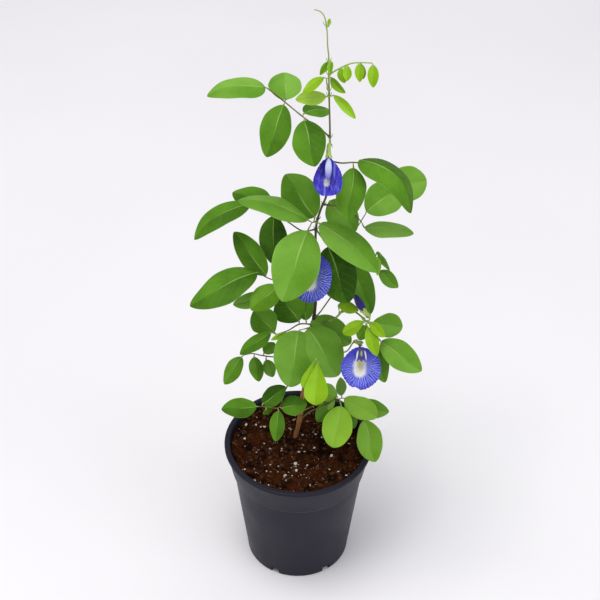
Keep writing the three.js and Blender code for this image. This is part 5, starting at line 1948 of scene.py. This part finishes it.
@dataclass(frozen=True)
class Pot:
    """A round nursery pot: tapered wall, band, rounded lip and drain notches at the foot."""

    form: PotForm
    palette: Palette

    def _rounded(self, points: Sequence[tuple[float, float]], rounding: Sequence[float]) -> Array:
        """A chain of points whose corners are rounded, each by a parabola between two points beside it.

        Args:
            points: Radii and heights.
            rounding: How far from its corner each parabola starts.

        Returns:
            The rounded chain.
        """
        chain, most = np.asarray(points, float), self.form.most_rounding
        rounded = [chain[:1]]
        t = np.linspace(0, 1, self.form.corner_steps)[:, None]
        for before, corner, after, size in zip(chain, chain[1:], chain[2:], rounding):
            ways = before - corner, after - corner
            start, end = (corner + unit(way) * min(size, np.linalg.norm(way) * most) for way in ways)
            rounded.append(start * (1 - t) ** 2 + 2 * corner * t * (1 - t) + end * t**2)
        return np.vstack([*rounded, chain[-1:]])

    def _wall(self) -> Array:
        """The wall's outline above the drain notches, from outside over the lip to the inside.

        Returns:
            Radii and heights.
        """
        form = self.form
        band_foot = form.height - form.band_height
        under_lip = form.height - form.lip_height
        points = [
            (form.outer_radius(form.drain_height), form.drain_height),
            (form.band_foot_radius - form.band_step, band_foot),
            (form.band_foot_radius, band_foot + form.band_step),
            (form.rim_radius - form.lip_overhang, under_lip),
            (form.rim_radius, under_lip + form.lip_rounding / 2),
            (form.rim_radius, form.height),
            (form.rim_radius - form.lip_width, form.height),
            (form.inner_radius(band_foot), band_foot),
            (form.inner_radius(form.drain_height), form.drain_height),
        ]
        return self._rounded(points, form.roundings)

    def make(self) -> None:
        """Makes the pot from the turned wall, its foot between the notches, and the floor."""
        form = self.form
        wall = self._wall()
        inner = form.base_radius - form.drain_depth
        outer_low = self._rounded(
            [(inner, 0), (form.base_radius - form.wall, 0), (form.base_radius, 0), tuple(wall[0])],
            (form.inner_rounding, form.base_rounding),
        )
        corner = (form.base_radius - form.wall, form.floor)
        inner_low = np.array([(inner, form.floor), corner, tuple(wall[-1])])
        inner_low = inner_low[[0] + [1] * (len(outer_low) - 2) + [2]]
        under, floor = np.array([(0, 0), (inner, 0)]), np.array([(inner, form.floor), (0, form.floor)])
        step = np.array([(inner, 0), (inner, form.floor)])
        half = math.asin(form.drain_width / 2 / form.base_radius)
        span = FULL_TURN / form.drain_count
        piece = Piece("pot_moulded", [self.palette.plastic])
        for middle in form.drain_first + span * np.arange(form.drain_count):
            gap = np.linspace(middle - half, middle + half, form.columns_in_drain + 1)
            rest = np.linspace(middle + half, middle + span - half, form.columns_between + 1)
            turned = [(outline, angles) for angles in (gap, rest) for outline in (wall, under, floor)]
            turned += [(outer_low, rest), (inner_low[::-1], rest), (wall[[-1, 0]], gap), (step, gap)]
            for outline, angles in turned:
                piece.add(self._turned(outline, angles))
            piece.add(self._cheek(outer_low, inner_low, middle + half))
            piece.add(self._cheek(inner_low, outer_low, middle - half))
        piece.make(Slot.POT, ["pot"])

    @staticmethod
    def _turned(outline: Array, angles: Array) -> Patch:
        """An outline turned about the upright axis.

        Args:
            outline: Radii and heights.
            angles: The angles that it is turned to.

        Returns:
            The turned surface.
        """
        reach, height = outline[:, :1], outline[:, 1:2]
        points = np.stack([reach * np.cos(angles), reach * np.sin(angles), height + 0 * angles], -1)
        walked = np.concatenate([[0], np.cumsum(np.linalg.norm(np.diff(outline, axis=0), axis=1))])[:, None]
        places = [0 * walked + angles / FULL_TURN, walked / MAP_SPAN + 0 * angles]
        return Patch.grid(points, np.stack(places, -1))

    @staticmethod
    def _cheek(one: Array, other: Array, angle: float) -> Patch:
        """The flat side of a notch.

        Args:
            one: Radii and heights of one border.
            other: The same of the other border.
            angle: The angle that both lie at.

        Returns:
            The side.
        """
        outlines = np.stack([one, other])
        reach, height = outlines[..., 0], outlines[..., 1]
        points = np.stack([reach * math.cos(angle), reach * math.sin(angle), height], -1)
        return Patch.grid(points, outlines / MAP_SPAN)


@dataclass(frozen=True)
class Grains:
    """Chance grains on the soil: how many, and their form. Sizes in millimetres.

    The height, the length and the depth of the middle are shares of a grain's radius. A crowd above 1
    makes the small grains the commoner; bumps are the least and the greatest share of the radius.
    """

    count: int
    smallest: float
    largest: float
    height: float
    length: float
    sunk: float
    seed: int
    crowd: float = 2.2
    rows: int = 5
    columns: int = 6
    bumps: tuple[float, float] = (0.7, 1.15)
    lean: float = 0.45
    from_wall: float = 1.0


@dataclass(frozen=True)
class SoilForm:
    """Sizes of the soil in millimetres, and what lies in it."""

    below_rim: float = 5.0
    wall_gap: float = 0.5
    seat_gap: float = 0.3
    lump: float = 0.9
    broad_wave: float = 53.0
    fine_wave: float = 23.0
    fine_share: float = 0.4
    crown: float = 1.2
    crown_edge_share: float = 0.33
    edge_rise: float = 0.4
    rings: int = 64
    ring_crowding: float = 0.7
    spokes: int = 144
    rough: tuple[tuple[float, float, int], ...] = ((7.0, 0.7, 3), (3.1, 0.6, 4), (1.4, 0.35, 5))
    crumbs: Grains = Grains(1300, 0.35, 1.9, 0.75, 1.15, 0.1, 11)
    chips: Grains = Grains(90, 0.6, 1.5, 0.35, 2.6, -0.05, 12)
    perlite: Grains = Grains(320, 0.25, 1.4, 0.75, 1.25, 0.12, 13, 5.0)


@dataclass
class Soil:
    """The potting mix that fills a pot: a lumpy plug with crumbs, bark chips and perlite grains."""

    form: SoilForm
    pot: PotForm
    palette: Palette

    def __post_init__(self) -> None:
        """Works out how high and how wide the soil's surface is."""
        self.level = self.pot.height - self.form.below_rim
        self.radius = self.pot.inner_radius(self.level) - self.form.wall_gap

    def height(self, x: Array, y: Array) -> Array:
        """Height of the surface: two crossed sine waves, a low crown and layers of chance heights.

        Args:
            x: Places across the pot.
            y: Places along it.

        Returns:
            One height per place.
        """
        form = self.form
        broad = np.sin(FULL_TURN * x / form.broad_wave) * np.cos(FULL_TURN * y / form.broad_wave)
        fine = np.sin(FULL_TURN * (x + y) / form.fine_wave) * np.cos(FULL_TURN * y / form.fine_wave)
        lump = form.lump * (broad * (1 - form.fine_share) + fine * form.fine_share)
        inward = 1 - np.minimum(1, np.hypot(x, y) / self.radius)
        crown = form.crown * np.minimum(1, inward / form.crown_edge_share)
        rough = sum(size * even_waves(x, y, cell, seed) for cell, size, seed in form.rough)
        return self.level + lump + crown + rough

    def _plug(self) -> Patch:
        """The plug: bottom, bent side and top as one turned grid whose top follows the height field.

        Returns:
            The plug.
        """
        form = self.form
        angles = np.linspace(0, FULL_TURN, form.spokes + 1)
        bottom = self.pot.floor + form.seat_gap
        waist = self.pot.height - self.pot.band_height
        sides = [self.pot.inner_radius(height) - form.wall_gap for height in (bottom, waist)]
        top = self.radius * np.linspace(1, 0, form.rings + 1) ** form.ring_crowding
        reach = np.concatenate([[0, *sides], top])
        x, y = reach[:, None] * np.cos(angles), reach[:, None] * np.sin(angles)
        z = self.height(x, y)
        z[:2], z[2] = bottom, waist
        z[3] = np.minimum(z[3], self.level + form.edge_rise)
        return Patch.grid(np.stack([x, y, z], -1), np.stack([x, y], -1) / MAP_SPAN + 0.5)

    def _scatter(self, grains: Grains) -> Patch:
        """Grains on the surface: lumpy balls, stretched, turned and sunk by chance.

        Args:
            grains: How many, and their form.

        Returns:
            All grains as one patch.
        """
        chance = np.random.default_rng(grains.seed)
        count, rows, columns = grains.count, grains.rows, grains.columns
        tilt = np.linspace(0, math.pi, rows)[:, None]
        turn = np.linspace(0, FULL_TURN, columns + 1)[None, :]
        girth = np.sin(tilt)
        ball = np.stack([girth * np.cos(turn), girth * np.sin(turn), -np.cos(tilt) + 0 * turn], -1)
        bumps = chance.uniform(*grains.bumps, (count, rows, columns + 1))
        bumps[:, :, -1] = bumps[:, :, 0]
        bumps[:, [0, -1]] = bumps[:, [0, -1], :1]
        drawn = chance.uniform(0, 1, count) ** grains.crowd
        size = grains.smallest + (grains.largest - grains.smallest) * drawn
        shape = ball[None] * bumps[..., None] * np.array([grains.length, 1.0, grains.height])
        yaw, lean = chance.uniform(0, FULL_TURN, count), chance.normal(0, grains.lean, count)
        cy, sy, cl, sl = np.cos(yaw), np.sin(yaw), np.cos(lean), np.sin(lean)
        spin = np.stack([cy, -sy * cl, sy * sl, sy, cy * cl, -cy * sl, 0 * cy, sl, cl], -1).reshape(-1, 3, 3)
        shape = np.einsum("nij,nrcj->nrci", spin, shape) * size[:, None, None, None]
        away = (self.radius - grains.from_wall - size) * np.sqrt(chance.uniform(0, 1, count))
        round_by = chance.uniform(0, FULL_TURN, count)
        x, y = away * np.cos(round_by), away * np.sin(round_by)
        middle = np.stack([x, y, self.height(x, y) - grains.sunk * size], -1)
        flat = (shape + middle[:, None, None]).reshape(-1, 3)
        corner = np.arange(count)[:, None, None] * rows * (columns + 1)
        faces = (grid_faces(rows, columns + 1)[None] + corner).reshape(-1, 4)
        tone = np.repeat(chance.uniform(0, 1, count), rows * (columns + 1))
        return Patch(flat, faces, flat[:, :2] / MAP_SPAN + 0.5, np.column_stack([tone, 0 * tone, 0 * tone]))

    def make(self) -> None:
        """Makes the plug, and its crumbs, chips and perlite as pieces of their own."""
        form, palette = self.form, self.palette
        plug = Piece("soil_mix", [palette.soil])
        plug.add(self._plug())
        plug.make(Slot.SOIL, ["soil"])
        crumbs = Piece("soil_crumbs", [palette.soil])
        crumbs.add(self._scatter(form.crumbs))
        crumbs.add(self._scatter(form.chips))
        crumbs.make(Slot.SOIL)
        grains = Piece("soil_perlite", [palette.perlite])
        grains.add(self._scatter(form.perlite))
        grains.make(Slot.SOIL)


# The place it stands in


@dataclass(frozen=True)
class Light:
    """A soft square light that looks at a point; lengths in metres."""

    name: str
    place: Triple
    size: float
    watts: float
    colour: Triple = (1.0, 1.0, 1.0)
    target: Triple = (0.0, 0.0, 0.2)

    def make(self) -> None:
        """Makes the light."""
        data = bpy.data.lights.new(self.name, "AREA")
        data.shape = "SQUARE"
        data.size = self.size
        data.energy = self.watts
        data.color = self.colour
        light = bpy.data.objects.new(self.name, data)
        back = unit(np.asarray(self.place) - np.asarray(self.target))
        right = unit(np.cross([0.0, 1.0, 0.1], back))
        turn = Matrix(np.column_stack([right, np.cross(back, right), back]).tolist()).to_4x4()
        turn.translation = self.place
        light.matrix_world = turn
        bpy.context.scene.collection.objects.link(light)


@dataclass(frozen=True)
class Studio:
    """A plain pale floor in soft light."""

    floor_half: float = 4.0
    world: Triple = (0.97, 0.96, 1.0)
    world_strength: float = 0.64
    lights: tuple[Light, ...] = (
        Light("key", (-0.35, -0.25, 1.9), 0.9, 17.0, (1.0, 0.99, 0.97)),
        Light("fill", (1.2, -0.9, 1.1), 1.2, 4.4, (0.95, 0.97, 1.0)),
    )

    def make(self, palette: Palette) -> None:
        """Makes the floor, the lights and the surrounding light.

        Args:
            palette: The finishes.
        """
        size = self.floor_half
        corners = [(-size, -size, 0), (size, -size, 0), (size, size, 0), (-size, size, 0)]
        mesh = bpy.data.meshes.new("floor")
        mesh.from_pydata(corners, [], [(0, 1, 2, 3)])
        mesh.materials.append(palette.floor)
        floor = bpy.data.objects.new("floor", mesh)
        bpy.context.scene.collection.objects.link(floor)
        for light in self.lights:
            light.make()
        world = bpy.data.worlds.new("surrounding_light")
        world.use_nodes = True
        background = world.node_tree.nodes["Background"]
        background.inputs["Color"].default_value = (*self.world, 1.0)
        background.inputs["Strength"].default_value = self.world_strength
        bpy.context.scene.world = world
        bpy.context.scene.view_settings.view_transform = "Standard"


def main() -> None:
    """Builds the plant from the pot up, then its surroundings and the camera."""
    logging.basicConfig(level=logging.INFO, format="%(name)s: %(message)s")
    palette = Palette()
    pot = PotForm()
    Pot(pot, palette).make()
    Soil(SoilForm(), pot, palette).make()
    stems = Stems(StemForm(), palette)
    rises = [leaf.rise for leaf in LEAVES] + [SHOOT_RISE]
    stems.make(rises, [leaf.way for leaf in SHOOT_LEAVES])
    leaf_form, flower_form = LeafForm(), FlowerForm()
    for leaf in LEAVES:
        CompoundLeaf(leaf, stems.at_height(leaf.rise), leaf_form, palette).make()
    for leaf in SHOOT_LEAVES:
        CompoundLeaf(leaf, stems.shoot.at(leaf.way)[0], leaf_form, palette).make()
    for bloom in BLOOMS:
        Flower(bloom, stems.at_height(bloom.rise), flower_form, palette).make()
    bud = Bud()
    bud.make(stems.shoot.at(bud.way)[0], flower_form, palette)
    Studio().make(palette)
    VIEW.camera()


if __name__ == "__main__":
    main()
